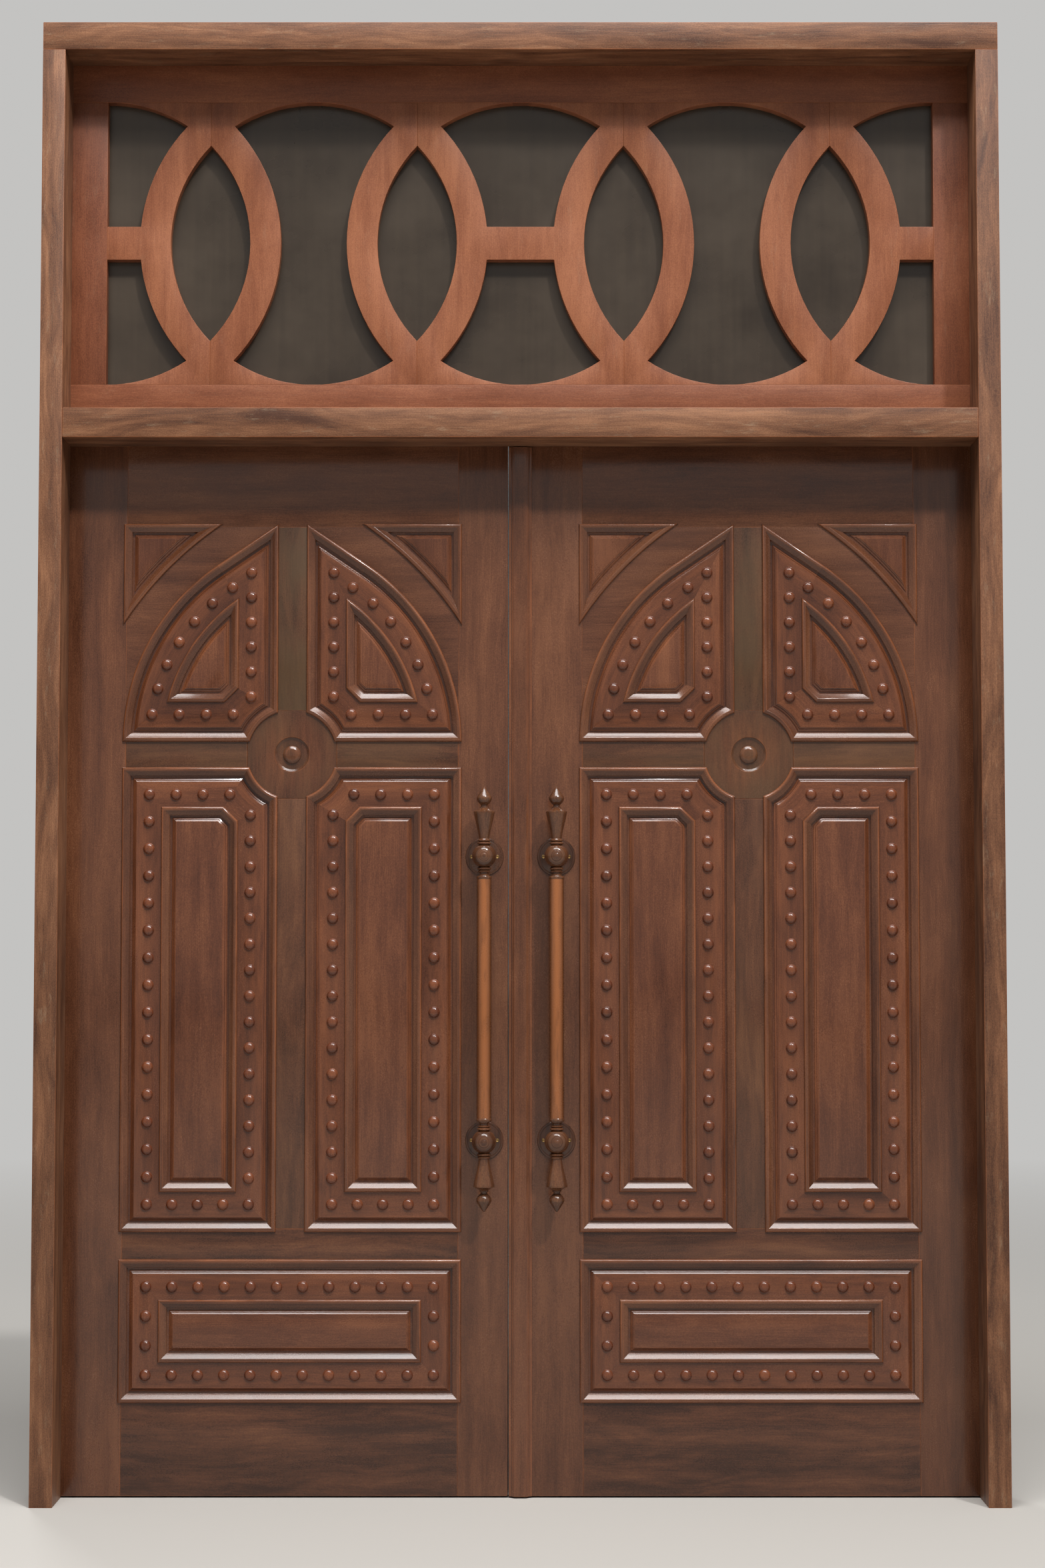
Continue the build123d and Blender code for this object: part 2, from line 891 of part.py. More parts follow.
def bored_block(low, height):
    """Block on the back face, bored for the bolt."""
    with BuildSketch(Plane.XY.offset(low)) as face:
        with Locations((-bolt_offset, bolt_y)):
            Rectangle(guide_width, guide_depth)
            Rectangle(*[bolt_size + 2 * bolt_clearance] * 2, mode=Mode.SUBTRACT)
    extrude(face.sketch, amount=height)


with BuildPart() as bolt_guides:
    for low in (guide_low, guide_high):
        bored_block(low, guide_height)
write_pair(bolt_guides, "bolt_guides")

with BuildPart() as bolt:
    with BuildSketch(Plane.XY.offset(bolt_low)) as face:
        with Locations((-bolt_offset, bolt_y)):
            Rectangle(bolt_size, bolt_size)
    extrude(amount=bolt_length)
    with BuildSketch(Plane.XY.offset(thumb_low)) as thumb:
        with Locations((-bolt_offset, bolt_y + thumb_reach / 2)):
            Rectangle(bolt_size, thumb_reach)
    extrude(amount=thumb_height)
write_pair(bolt, "bolt")

with BuildPart() as bolt_keepers:
    bored_block(clear_height + rebate + keeper_lift, keeper_height)
    mirror(about=Plane.YZ)
write(bolt_keepers, "bolt_keepers")
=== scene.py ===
import math
import random

import bmesh
import bpy
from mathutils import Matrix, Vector


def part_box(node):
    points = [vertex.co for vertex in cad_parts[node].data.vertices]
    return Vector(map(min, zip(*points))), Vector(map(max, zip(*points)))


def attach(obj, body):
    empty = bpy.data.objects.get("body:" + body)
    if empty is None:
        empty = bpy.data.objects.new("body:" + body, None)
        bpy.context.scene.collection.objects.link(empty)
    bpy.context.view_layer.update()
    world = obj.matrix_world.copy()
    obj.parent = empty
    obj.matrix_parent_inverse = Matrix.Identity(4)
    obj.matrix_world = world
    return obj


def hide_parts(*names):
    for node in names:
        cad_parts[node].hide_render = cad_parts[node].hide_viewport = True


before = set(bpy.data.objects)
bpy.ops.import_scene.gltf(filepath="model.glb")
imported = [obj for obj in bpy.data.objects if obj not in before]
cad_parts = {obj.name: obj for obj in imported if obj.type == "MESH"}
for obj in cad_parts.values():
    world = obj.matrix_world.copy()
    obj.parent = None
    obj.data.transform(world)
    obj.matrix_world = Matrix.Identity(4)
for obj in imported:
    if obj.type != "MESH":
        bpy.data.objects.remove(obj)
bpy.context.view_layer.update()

# Carved temple door in its frame. Shapes are worked out in millimetres, with X to the
# right, Z up and heights towards the viewer, and are put down in metres.
MM = 0.001
LEAVES = ("left", "right")
LEAF_SIDES = ((1, "left"), (-1, "right"))
SEED = 11
chance = random.Random(SEED)


def lines(node):
    """Lowest and highest corner of a solid, in millimetres."""
    low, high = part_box(node)
    return Vector(low) / MM, Vector(high) / MM


# Lines of a leaf, as its solids give them
panels_low, panels_high = lines("left_outer_mouldings")
hub_low, hub_high = lines("left_hub_block")
muntin_low, muntin_high = lines("left_lower_muntin")
lock_low, lock_high = lines("left_lock_rail")
cross_low, cross_high = lines("left_cross_rails")
plates_low, plates_high = lines("left_handle_plates")
strip_low, strip_high = lines("right_cover_strip")

# How far a moulding laps over its neighbours, the level that it sits on, the thickness of
# a leaf, and how far the meeting edges lean together behind
LIP = 8.0
SHELF = -8.0
LEAF = hub_high.y
MEETING_LEAN = {"left": 1.48, "right": -1.48}

# Edges of the panels and size of the hub
ZONE_OUTER, ZONE_INNER = panels_low.x, panels_high.x
MUNTIN = muntin_low.x + LIP
BOTTOM_LOW, BOTTOM_HIGH = panels_low.z, lock_low.z + LIP
LONG_LOW, LONG_HIGH = lock_high.z - LIP, cross_low.z + LIP
ARCH_LOW, ARCH_HIGH = cross_high.z - LIP, panels_high.z
HUB = Vector(((hub_low.x + hub_high.x) / 2, (hub_low.z + hub_high.z) / 2))
HUB_HALF = Vector(((hub_high.x - hub_low.x) / 2, (hub_high.z - hub_low.z) / 2))
HUB_DISC = math.hypot(HUB_HALF.x, (cross_high.z - cross_low.z) / 2)
HUB_RADIUS = HUB_DISC - LIP

# Panels: the upright foot of the arch, the corner panels and how far they bow, the width of
# the studded band, and the cut corner of the inner panels
ARCH_STRAIGHT = 172.8
SPANDREL = Vector((232.0, 238.0))
SPANDREL_BOW = 17.0
BAND = 91.5
CHAMFER = 33.0

# Backs and edges of the boards that lie in the mouldings
BAND_BACK = -38.0
FIELD_BACK = -34.0
BOARD_EDGE = 8.5

ARC_STEPS = 28
TOUCHING = 1e-3

# Sections as insets from the outline, or radii, and heights, with how much each point is worn
MOULDING = (
    (0.0, 0.0, 0.1), (0.4, 2.6, 0.3), (1.6, 4.8, 0.9), (3.6, 6.4, 0.7), (6.0, 7.0, 0.1),
    (8.0, 6.9, 0.1), (9.0, 6.5, 0.4), (9.6, 6.0, 0.1), (19.2, -0.2, 0.0), (19.5, -1.0, 0.4),
    (19.7, -4.4, 0.0), (20.6, -5.0, 0.2), (20.8, -8.0, 0.0), (8.0, -8.0, 0.0), (8.0, 0.0, 0.0),
)
BEVEL = (
    (25.0, -8.0, 0.0), (25.3, -6.6, 0.4), (29.6, -4.0, 0.2), (30.1, -4.4, 0.0),
    (30.7, -3.1, 0.5), (33.8, -1.1, 0.2), (34.1, -0.2, 0.9), (35.0, 0.0, 0.4),
)
STUD = (
    (13.5, 0.0, 0.0), (13.5, 0.6, 0.2), (13.2, 1.0, 0.3), (12.9, 1.1, 0.0), (12.5, 2.4, 0.0),
    (11.4, 4.2, 0.0), (9.8, 5.7, 0.1), (7.6, 6.9, 0.2), (4.6, 7.7, 0.4), (0.8, 8.0, 0.4),
)
ROSETTE = (
    (0.8, 3.8, 0.1), (12.4, 3.7, 0.4), (13.2, 3.5, 0.7), (18.8, 0.0, 0.2), (20.2, -1.4, 0.5),
    (21.0, -5.0, 0.0), (34.6, -5.0, 0.0), (35.0, -4.8, 0.1), (39.4, -1.3, 0.1), (39.8, -1.3, 0.3),
    (40.6, -0.1, 0.9), (42.0, 0.0, 0.3),
)
HUB_RIM = (
    (HUB_DISC - 1.0, 0.0, 0.0), (HUB_DISC - 0.2, -0.8, 0.2), (HUB_DISC, -1.4, 0.1), (HUB_DISC, -LEAF, 0.0),
)
HUB_STEPS = 96
STUD_STEPS = 16

# Handles, in rings of radius and distance along their axis
HANDLE_STANDOFF = 60.0
PLATE_RADIUS = (plates_high.x - plates_low.x) / 2
HANDLE_X = (plates_low.x + plates_high.x) / 2
HANDLE_LEVELS = (plates_low.z + PLATE_RADIUS, plates_high.z - PLATE_RADIUS)
BALL_RADIUS = 28.0
ROD_RADIUS = 17.0
ROD_REACH = 52.0
SCREW_OFFSET = 30.0
END_RINGS = (
    (11.5, -55.0), (15.8, -54.5), (17.0, -52.5), (17.8, -50.5), (17.8, -48.5), (16.8, -46.5),
    (13.0, -45.5), (12.3, -43.5), (9.7, -41.5), (9.5, -39.5), (10.0, -38.0), (13.0, -37.2),
    (14.4, -35.8), (14.4, -34.6), (13.0, -33.2), (11.4, -32.4), (14.4, -31.6), (16.2, -30.0),
    (16.2, -28.0), (14.6, -26.4), (11.0, -25.0),
)
CUP_RINGS = (
    (11.0, 25.0), (14.6, 26.4), (16.2, 28.0), (16.2, 30.0), (14.4, 31.6), (11.4, 32.4),
    (13.0, 33.2), (14.8, 34.4), (14.8, 36.2), (13.2, 38.0), (11.9, 39.6), (12.2, 43.0),
    (14.0, 54.0), (17.2, 68.0), (20.6, 82.0), (23.6, 96.0), (24.5, 100.5), (24.3, 102.0),
    (20.0, 103.6), (13.0, 107.5), (10.4, 110.5), (10.4, 112.3), (7.7, 113.4), (7.5, 116.5),
    (9.8, 118.8), (14.0, 123.0), (17.0, 128.6), (17.6, 133.0), (17.0, 135.5), (13.8, 141.0),
    (10.0, 147.0), (6.6, 152.0), (3.4, 156.5), (0.8, 158.8),
)
BALL_FRONT = (
    (0.8, 27.9), (3.6, 27.2), (5.2, 26.5), (6.0, 26.1), (10.6, 25.5), (11.7, 25.0), (12.2, 24.0),
)
BALL_DEGREES = range(160, 29, -6)
POST = ((11.5, -54.0), (11.5, -51.0), (9.5, -48.5), (8.8, -44.0), (8.8, -30.0))
PLATE = (
    (43.6, 0.0), (44.0, 0.6), (44.0, 2.6), (43.0, 3.9), (39.5, 4.6), (38.0, 4.3), (36.5, 4.9), (2.0, 5.0),
)
SCREW = ((4.0, 4.0), (4.0, 5.2), (3.3, 5.9), (2.5, 5.6), (1.9, 5.0), (0.5, 5.0))
ROD_EASING = ((15.6, 0.2), (16.8, 1.2), (ROD_RADIUS, 3.0))
TURNED_STEPS = 40
PLATE_STEPS = 64
SCREW_STEPS = 20
END_WEAR = 0.25
BALL_WEAR = 0.2
PLATE_WEAR = 0.3
SCREW_WEAR = 0.2

# Cover strip in section, from its middle outwards
STRIP_HALF = (
    (0.0, 11.0, 0.0), (14.4, 11.0, 0.2), (15.4, 10.4, 1.0), (15.5, 8.4, 0.2), (16.6, 7.8, 0.3),
    (18.3, 7.6, 0.8), (19.0, 6.8, 0.3), (19.3, 4.6, 0.0), (20.8, 3.6, 0.3), (22.4, 2.6, 0.4),
    (25.8, 2.4, 0.8), (26.5, 1.8, 0.4), (26.5, 0.0, 0.0),
)

# Colours, as they look in plain light (0 to 255, sRGB)
FRAME_TONES = ((68, 39, 24), (112, 73, 49), (150, 104, 73))
FRETWORK_TONES = ((88, 45, 26), (122, 70, 45), (152, 95, 64))
LEAF_TONES = ((60, 31, 18), (93, 55, 35), (120, 76, 50))
MUNTIN_TONES = ((54, 29, 17), (88, 52, 33), (114, 73, 47))
PANEL_TONES = ((56, 27, 15), (90, 50, 31), (120, 73, 47))
STUD_TONES = ((56, 25, 13), (94, 48, 28), (134, 76, 45))
ROD_TONES = ((46, 26, 15), (74, 43, 26), (104, 64, 40))
TURNED_TONES = ((36, 19, 11), (76, 47, 30), (116, 80, 54))
GREEN = (74, 58, 38)
WORN = (160, 94, 56)
# Light tone of the rod's front: painted highlight for its round shading, and partly its hand-polished wear
ROD_HIGHLIGHT_AND_POLISH = (156, 94, 52)
DUST = (158, 138, 112)
STEEL = ((74, 70, 66), (112, 106, 100))
BRASS = ((128, 100, 62), (160, 130, 84))
# Pane colours: the dark end is painted shade, the dark room behind the glass; the light end is its dust
# film
PANE = ((38, 29, 21), (64, 53, 41))
FLOOR = (184, 180, 174)
PALE = (1.0, 0.99, 0.97, 1.0)

# Patterns: how often they repeat in a metre along the grain and both ways across it, their
# number of octaves and how much the small ones count
WANDER = ((2.4, 7.0, 7.0), 2.0)
BROAD = ((1.3, 30.0, 30.0), 3.0)
FINE = ((9.0, 420.0, 420.0), 4.0, 0.65)
PORES = ((60.0, 1500.0, 1500.0), 2.0)
SPECKLE = ((300.0, 420.0, 420.0), 5.0, 0.75)
CLOUD = ((3.0, 6.0, 6.0), 4.0, 0.6)
SWIRL = (2.2, 5.0, 5.0)
GROWTH = ((2.5, 46.0, 46.0), 2.0)
RUBBED = ((12.0, 90.0, 90.0), 3.0, 0.6)
SPECKS = ((14.0, 60.0, 60.0), 6.0, 0.8)
METAL_PATCHES = ((30.0, 30.0, 30.0), 4.0, 0.65)
METAL_BRUSHING = ((900.0, 900.0, 60.0), 2.0)
PANE_FILM = ((2.6, 2.6, 3.4), 5.0, 0.6)
PANE_RUNS = ((60.0, 1.0, 3.0), 2.0)
PANE_WAVES = ((5.0, 5.0, 5.0),)

# How far the fibres wander and swirl sideways, in metres
WANDER_REACH = (0.0, 0.05, 0.05)
SWIRL_REACH = (0.0, 0.16, 0.16)

# Share of each pattern in the tone of the wood and in its roughness
BROAD_SHARE, FINE_SHARE, SPECKLE_SHARE, CLOUD_SHARE = 0.8, 0.7, 1.3, 1.1
GROWTH_SHARE, BOARD_SHARE = 1.6, 0.35
ROUGH_CLOUD, ROUGH_SPECKLE, ROUGH_DUST = 0.35, 0.15, 0.4
PORE_DEPTH = 0.5
RELIEF_STRENGTH = 0.3
GREEN_CLOUD = (0.32, 0.58)
DUST_SPECKS = (0.57, 0.7)

# Gloss of the varnish
VARNISH = {"Specular IOR Level": 0.36, "Coat Roughness": 0.12}

# The curve from sRGB to light
SRGB_TOE, SRGB_TOE_SLOPE = 0.04045, 12.92
SRGB_OFFSET, SRGB_POWER = 0.055, 2.4


def linear(colour):
    """Scene colour of an sRGB triple from 0 to 255."""
    channels = []
    for value in colour:
        part = value / 255
        if part <= SRGB_TOE:
            channels.append(part / SRGB_TOE_SLOPE)
        else:
            channels.append(((part + SRGB_OFFSET) / (1 + SRGB_OFFSET)) ** SRGB_POWER)
    return (*channels, 1.0)


# Materials

class Tree:
    """Short way to write a material's nodes."""

    def __init__(self, name):
        self.material = bpy.data.materials.new(name)
        self.material.use_nodes = True
        self.tree = self.material.node_tree
        self.shader = self.tree.nodes["Principled BSDF"]

    def node(self, kind, settings=None, **inputs):
        """New node, with its settings and what goes into its sockets."""
        made = self.tree.nodes.new("ShaderNode" + kind)
        for name, value in (settings or {}).items():
            setattr(made, name, value)
        for name, value in inputs.items():
            self.put(value, made.inputs[name.replace("_", " ")])
        return made

    def put(self, value, socket):
        """Links an output to a socket, or sets the socket to a constant."""
        if isinstance(value, bpy.types.NodeSocket):
            self.tree.links.new(value, socket)
        else:
            socket.default_value = value

    def maths(self, operation, first, second=0.0, third=0.0):
        made = self.tree.nodes.new("ShaderNodeMath")
        made.operation = operation
        for value, socket in zip((first, second, third), made.inputs):
            self.put(value, socket)
        return made.outputs[0]

    def vector(self, operation, first, second):
        made = self.tree.nodes.new("ShaderNodeVectorMath")
        made.operation = operation
        for value, socket in zip((first, second), made.inputs):
            self.put(value, socket)
        return made.outputs[0]

    def noise(self, vector, scale, detail=3.0, rough=0.55):
        """Soft noise from 0 to 1, repeated at its own rate in each direction."""
        spread = self.vector("MULTIPLY", vector, scale)
        made = self.node("TexNoise", Vector=spread, Scale=1.0, Detail=detail, Roughness=rough)
        return made.outputs["Fac"]

    def cloudy(self, vector, scale):
        """Soft noise as a vector round zero."""
        spread = self.vector("MULTIPLY", vector, scale)
        made = self.node("TexNoise", Vector=spread, Scale=1.0, Detail=2.0)
        return self.vector("SUBTRACT", made.outputs["Color"], (0.5, 0.5, 0.5))

    def mix(self, factor, first, second):
        """Blend of two colours."""
        made = self.tree.nodes.new("ShaderNodeMix")
        made.data_type = "RGBA"
        for value, name in ((factor, "Factor_Float"), (first, "A_Color"), (second, "B_Color")):
            socket = next(s for s in made.inputs if s.identifier == name)
            self.put(value, socket)
        return next(s for s in made.outputs if s.identifier == "Result_Color")

    def ramp(self, factor, stops):
        """Colour of a level between stops of (place, colour)."""
        made = self.node("ValToRGB", Fac=factor)
        elements = made.color_ramp.elements
        while len(elements) < len(stops):
            elements.new(0.5)
        for element, (place, colour) in zip(elements, stops):
            element.position = place
            element.color = colour
        return made.outputs["Color"]

    def swung(self, level, factor, share):
        """A level with a share of a pattern's swing round its middle."""
        return self.maths("MULTIPLY_ADD", self.maths("SUBTRACT", factor, 0.5), share, level)

    def between(self, factor, low, high):
        """How far a factor lies between two levels, from 0 to 1."""
        made = self.node("MapRange", {"clamp": True}, Value=factor)
        made.inputs["From Min"].default_value = low
        made.inputs["From Max"].default_value = high
        return made.outputs["Result"]


def wood(
    name, tones, rough=0.24, wear_and_highlight_tone=WORN, wear_and_highlight_share=0.6, patchy=(0.25, 0.65),
    streak=1.0, figure=0.0, dusty=0.0, coat=0.3, relief=0.0004,
):
    """Varnished wood: fibres along the grain, a cloudy tone, worn arrises and a fine relief."""
    t = Tree(name)
    grain = t.node("Attribute", {"attribute_name": "grain"}).outputs["Vector"]
    finish = t.node("Attribute", {"attribute_name": "finish"}).outputs["Vector"]
    parts = t.node("SeparateXYZ", Vector=finish).outputs
    bright, green, wear = parts["X"], parts["Y"], parts["Z"]

    bend = t.node("VectorMath", {"operation": "SCALE"}, Scale=t.noise(grain, *WANDER))
    bend.inputs[0].default_value = WANDER_REACH
    fibres = t.vector("ADD", grain, bend.outputs[0])
    broad = t.noise(fibres, *BROAD)
    fine = t.noise(fibres, *FINE)
    pores = t.noise(fibres, *PORES)
    speckle = t.noise(grain, *SPECKLE)
    cloud = t.noise(grain, *CLOUD)

    level = t.swung(0.0, broad, BROAD_SHARE * streak)
    level = t.swung(level, fine, FINE_SHARE * streak)
    level = t.swung(level, speckle, SPECKLE_SHARE)
    level = t.swung(level, cloud, CLOUD_SHARE)
    if figure:
        swirl = t.vector("MULTIPLY", t.cloudy(grain, SWIRL), SWIRL_REACH)
        growth = t.noise(t.vector("ADD", grain, swirl), *GROWTH)
        level = t.swung(level, growth, GROWTH_SHARE * figure)
    level = t.maths("MULTIPLY_ADD", bright, BOARD_SHARE, level)
    level = t.maths("ADD", level, 0.5)
    dark, middle, light = (linear(tone) for tone in tones)
    colour = t.ramp(level, ((0.0, dark), (0.5, middle), (1.0, light)))

    tint = t.maths("MULTIPLY", green, t.between(cloud, *GREEN_CLOUD))
    colour = t.mix(tint, colour, linear(GREEN))
    # Worn arrises are mixed towards the worn tone; on the rod the same mix paints its front lighter, a
    # painted highlight as well as hand-polished wear
    worn = t.maths("MULTIPLY", wear, t.between(t.noise(grain, *RUBBED), *patchy))
    colour = t.mix(t.maths("MULTIPLY", worn, wear_and_highlight_share), colour, linear(wear_and_highlight_tone))
    rough_level = t.swung(rough, cloud, ROUGH_CLOUD)
    rough_level = t.swung(rough_level, speckle, ROUGH_SPECKLE)
    if dusty:
        film = t.maths("MULTIPLY", t.between(t.noise(grain, *SPECKS), *DUST_SPECKS), dusty)
        colour = t.mix(film, colour, linear(DUST))
        rough_level = t.maths("MULTIPLY_ADD", film, ROUGH_DUST, rough_level)

    height = t.maths("MULTIPLY_ADD", pores, PORE_DEPTH, fine)
    bump = t.node("Bump", Strength=RELIEF_STRENGTH, Distance=relief, Height=height)
    t.put(colour, t.shader.inputs["Base Color"])
    t.put(rough_level, t.shader.inputs["Roughness"])
    t.put(bump.outputs["Normal"], t.shader.inputs["Normal"])
    t.shader.inputs["Coat Weight"].default_value = coat
    for socket, value in VARNISH.items():
        t.shader.inputs[socket].default_value = value
    return t.material


def metal(name, tones, rough):
    """Dull metal with a thin uneven film and fine brushing."""
    film_places, film_rough = (0.35, 0.7), 0.3
    strength, depth = 0.2, 0.0002
    t = Tree(name)
    place = t.node("TexCoord").outputs["Object"]
    patches = t.noise(place, *METAL_PATCHES)
    base = t.ramp(patches, [(spot, linear(tone)) for spot, tone in zip(film_places, tones)])
    brushed = t.noise(place, *METAL_BRUSHING)
    bump = t.node("Bump", Strength=strength, Distance=depth, Height=brushed)
    t.put(base, t.shader.inputs["Base Color"])
    t.put(t.maths("MULTIPLY_ADD", patches, film_rough, rough), t.shader.inputs["Roughness"])
    t.put(bump.outputs["Normal"], t.shader.inputs["Normal"])
    t.shader.inputs["Metallic"].default_value = 1.0
    return t.material


def dusty_glass_on_painted_shade():
    """Old pane under an uneven film of dust; its dark base colour is painted shade, the dark room behind
    the glass.
    """
    film_places, runs_share = (0.35, 0.85), 0.25
    film_rough, clean_rough = 0.35, 0.12
    strength, depth = 0.15, 0.001
    t = Tree("transom_pane")
    place = t.node("TexCoord").outputs["Object"]
    film = t.noise(place, *PANE_FILM)
    level = t.maths("MULTIPLY_ADD", t.noise(place, *PANE_RUNS), runs_share, film)
    colour = t.ramp(level, [(spot, linear(tone)) for spot, tone in zip(film_places, PANE)])
    bump = t.node("Bump", Strength=strength, Distance=depth, Height=t.noise(place, *PANE_WAVES))
    t.put(colour, t.shader.inputs["Base Color"])
    t.put(t.maths("MULTIPLY_ADD", film, film_rough, clean_rough), t.shader.inputs["Roughness"])
    t.put(bump.outputs["Normal"], t.shader.inputs["Normal"])
    return t.material


materials = {
    "frame_wood": wood(
        "weathered_frame", FRAME_TONES, rough=0.5, figure=0.7, dusty=0.3, coat=0.0, relief=0.0008,
    ),
    "fretwork_wood": wood(
        "fretwork_boards", FRETWORK_TONES,
        rough=0.42, streak=0.8, figure=0.2, dusty=0.1, coat=0.0, relief=0.0006,
    ),
    "leaf_wood": wood("leaf_boards", LEAF_TONES, figure=0.2),
    "muntin_wood": wood("muntin_boards", MUNTIN_TONES, rough=0.3, streak=1.1, figure=0.6),
    "panel_wood": wood("panel_boards", PANEL_TONES, figure=0.25),
    "stud_wood": wood("stud_heads", STUD_TONES, rough=0.27, streak=0.5),
    # Rod: dark sides and a front painted lighter, painted shade and highlight for its round form, partly
    # hand-polished wear
    "rod_wood": wood(
        "rod_sticks", ROD_TONES,
        rough=0.28, wear_and_highlight_tone=ROD_HIGHLIGHT_AND_POLISH, wear_and_highlight_share=0.9, patchy=(0.0, 0.5), streak=0.9,
    ),
    "handle_wood": wood("turned_ends", TURNED_TONES, rough=0.22, streak=1.2),
    "steel": metal("old_steel", STEEL, rough=0.4),
    "brass": metal("screw_brass", BRASS, rough=0.38),
    "glass": dusty_glass_on_painted_shade(),
}


# Outlines, run with the panel on their left

class Straight:
    """Straight side of an outline, which can be set inwards, sampled and give its grain."""

    def __init__(self, start, end):
        self.start, self.end = Vector(start), Vector(end)
        self.way = (self.end - self.start).normalized()
        self.left = Vector((-self.way.y, self.way.x))

    def shifted(self, inset):
        return Straight(self.start + self.left * inset, self.end + self.left * inset)

    def samples(self, first, last):
        return [first]

    def grain(self, point):
        return point.dot(self.way), point.dot(self.left)


class Round:
    """Arc of an outline, from an angle through a turn; a negative turn is hollow."""

    def __init__(self, centre, radius, angle, turn):
        self.centre, self.radius = Vector(centre), radius
        self.angle, self.turn = angle, turn
        self.sign = math.copysign(1.0, turn)
        self.start, self.end = self.at(angle), self.at(angle + turn)

    def at(self, angle):
        return self.centre + Vector((math.cos(angle), math.sin(angle))) * self.radius

    def shifted(self, inset):
        return Round(self.centre, self.radius - self.sign * inset, self.angle, self.turn)

    def turned(self, point):
        """How far round from the start a point lies."""
        away = point - self.centre
        middle = self.angle + self.turn / 2
        angle = math.atan2(away.y, away.x) - middle
        return (angle + math.pi) % math.tau - math.pi + self.turn / 2

    def samples(self, first, last):
        low, high = self.turned(first), self.turned(last)
        return [self.at(self.angle + low + (high - low) * i / ARC_STEPS) for i in range(ARC_STEPS)]

    def grain(self, point):
        away = (point - self.centre).length
        return self.turned(point) * self.radius * self.sign, (self.radius - away) * self.sign


def meet(first, second, near):
    """Where two neighbouring sides meet."""
    if isinstance(first, Straight) and isinstance(second, Straight):
        gap = second.start - first.start
        cross = first.way.cross(second.way)
        return first.start + first.way * (gap.cross(second.way) / cross)
    line, arc = (first, second) if isinstance(first, Straight) else (second, first)
    foot = line.start + line.way * (arc.centre - line.start).dot(line.way)
    spare = arc.radius**2 - (foot - arc.centre).length_squared
    if spare < TOUCHING:
        return foot
    step = line.way * math.sqrt(spare)
    return min(foot + step, foot - step, key=lambda p: (p - near).length)


def joints(sides):
    """Corners of an outline, each where one side meets the next."""
    return [meet(sides[i - 1], side, side.start) for i, side in enumerate(sides)]


def ring(sides, inset):
    """Points round an outline set inwards."""
    moved = [side.shifted(inset) for side in sides]
    corners = joints(moved)
    points = []
    for i, side in enumerate(moved):
        points += side.samples(corners[i], corners[(i + 1) % len(moved)])
    return points


def owners(sides):
    """Side that each stretch of a ring belongs to."""
    return [side for side in sides for _ in range(ARC_STEPS if isinstance(side, Round) else 1)]


def hub_turn(start, end):
    """Arc of the hub's hollow corner between two of its points."""
    first = math.atan2(*(start - HUB).yx)
    last = math.atan2(*(end - HUB).yx)
    turn = (last - first + math.pi) % math.tau - math.pi
    return Round(HUB, HUB_RADIUS, first, turn)


def hub_points(level):
    """Where the hub's circle crosses the muntin's edge and a level, on that level's side."""
    rise = math.copysign(math.sqrt(HUB_RADIUS**2 - (MUNTIN - HUB.x) ** 2), level - HUB.y)
    run = math.sqrt(HUB_RADIUS**2 - (level - HUB.y) ** 2)
    return Vector((MUNTIN, HUB.y + rise)), Vector((HUB.x - run, level))


def arch_sides():
    """Upper panel and the outline of its inner panel, before it is set inwards."""
    width, height = MUNTIN - ZONE_OUTER, ARCH_HIGH - ARCH_LOW
    radius = (width**2 + height**2 - ARCH_STRAIGHT**2) / (2 * width)
    overlap = radius - width
    reach = math.hypot(height, overlap)
    turn = math.asin(radius / reach) - math.atan2(overlap, height)
    arc = Round((ZONE_OUTER + radius, ARCH_LOW), radius, math.pi - turn, turn)
    tip, base = Vector((MUNTIN, ARCH_HIGH)), Vector((ZONE_OUTER, ARCH_LOW))
    side, foot = hub_points(ARCH_LOW)
    corner = Vector((MUNTIN, ARCH_LOW))
    outer = [
        Straight(tip, arc.start), arc, Straight(base, foot), hub_turn(foot, side), Straight(side, tip),
    ]
    return outer, [arc, Straight(base, corner), Straight(corner, tip)], 2


def long_sides():
    """Tall panel below the cross rail."""
    low_left, low_right = Vector((ZONE_OUTER, LONG_LOW)), Vector((MUNTIN, LONG_LOW))
    high_left, high_right = Vector((ZONE_OUTER, LONG_HIGH)), Vector((MUNTIN, LONG_HIGH))
    side, foot = hub_points(LONG_HIGH)
    outer = [
        Straight(low_left, low_right), Straight(low_right, side), hub_turn(side, foot),
        Straight(foot, high_left), Straight(high_left, low_left),
    ]
    corners = (low_left, low_right, high_right, high_left)
    return outer, closed(corners), 2


def closed(corners):
    """Straight sides round a list of corners."""
    return [Straight(a, b) for a, b in zip(corners, (*corners[1:], corners[0]))]


def bottom_sides():
    """Wide panel above the bottom rail."""
    corners = [
        Vector(c) for c in (
            (ZONE_OUTER, BOTTOM_LOW), (ZONE_INNER, BOTTOM_LOW),
            (ZONE_INNER, BOTTOM_HIGH), (ZONE_OUTER, BOTTOM_HIGH),
        )
    ]
    return closed(corners), closed(corners), None


def spandrel_sides():
    """Corner panel above the arch, hollow along it."""
    corner = Vector((ZONE_OUTER, ARCH_HIGH))
    tip = corner + Vector((SPANDREL.x, 0.0))
    foot = corner - Vector((0.0, SPANDREL.y))
    chord = tip - foot
    radius = (chord.length_squared / 4 + SPANDREL_BOW**2) / (2 * SPANDREL_BOW)
    right = Vector((chord.y, -chord.x)).normalized()
    centre = (tip + foot) / 2 + right * (radius - SPANDREL_BOW)
    angle = math.atan2(*(foot - centre).yx)
    bow = Round(centre, radius, angle, -2 * math.asin(chord.length / 2 / radius))
    return [Straight(tip, corner), Straight(corner, foot), bow]


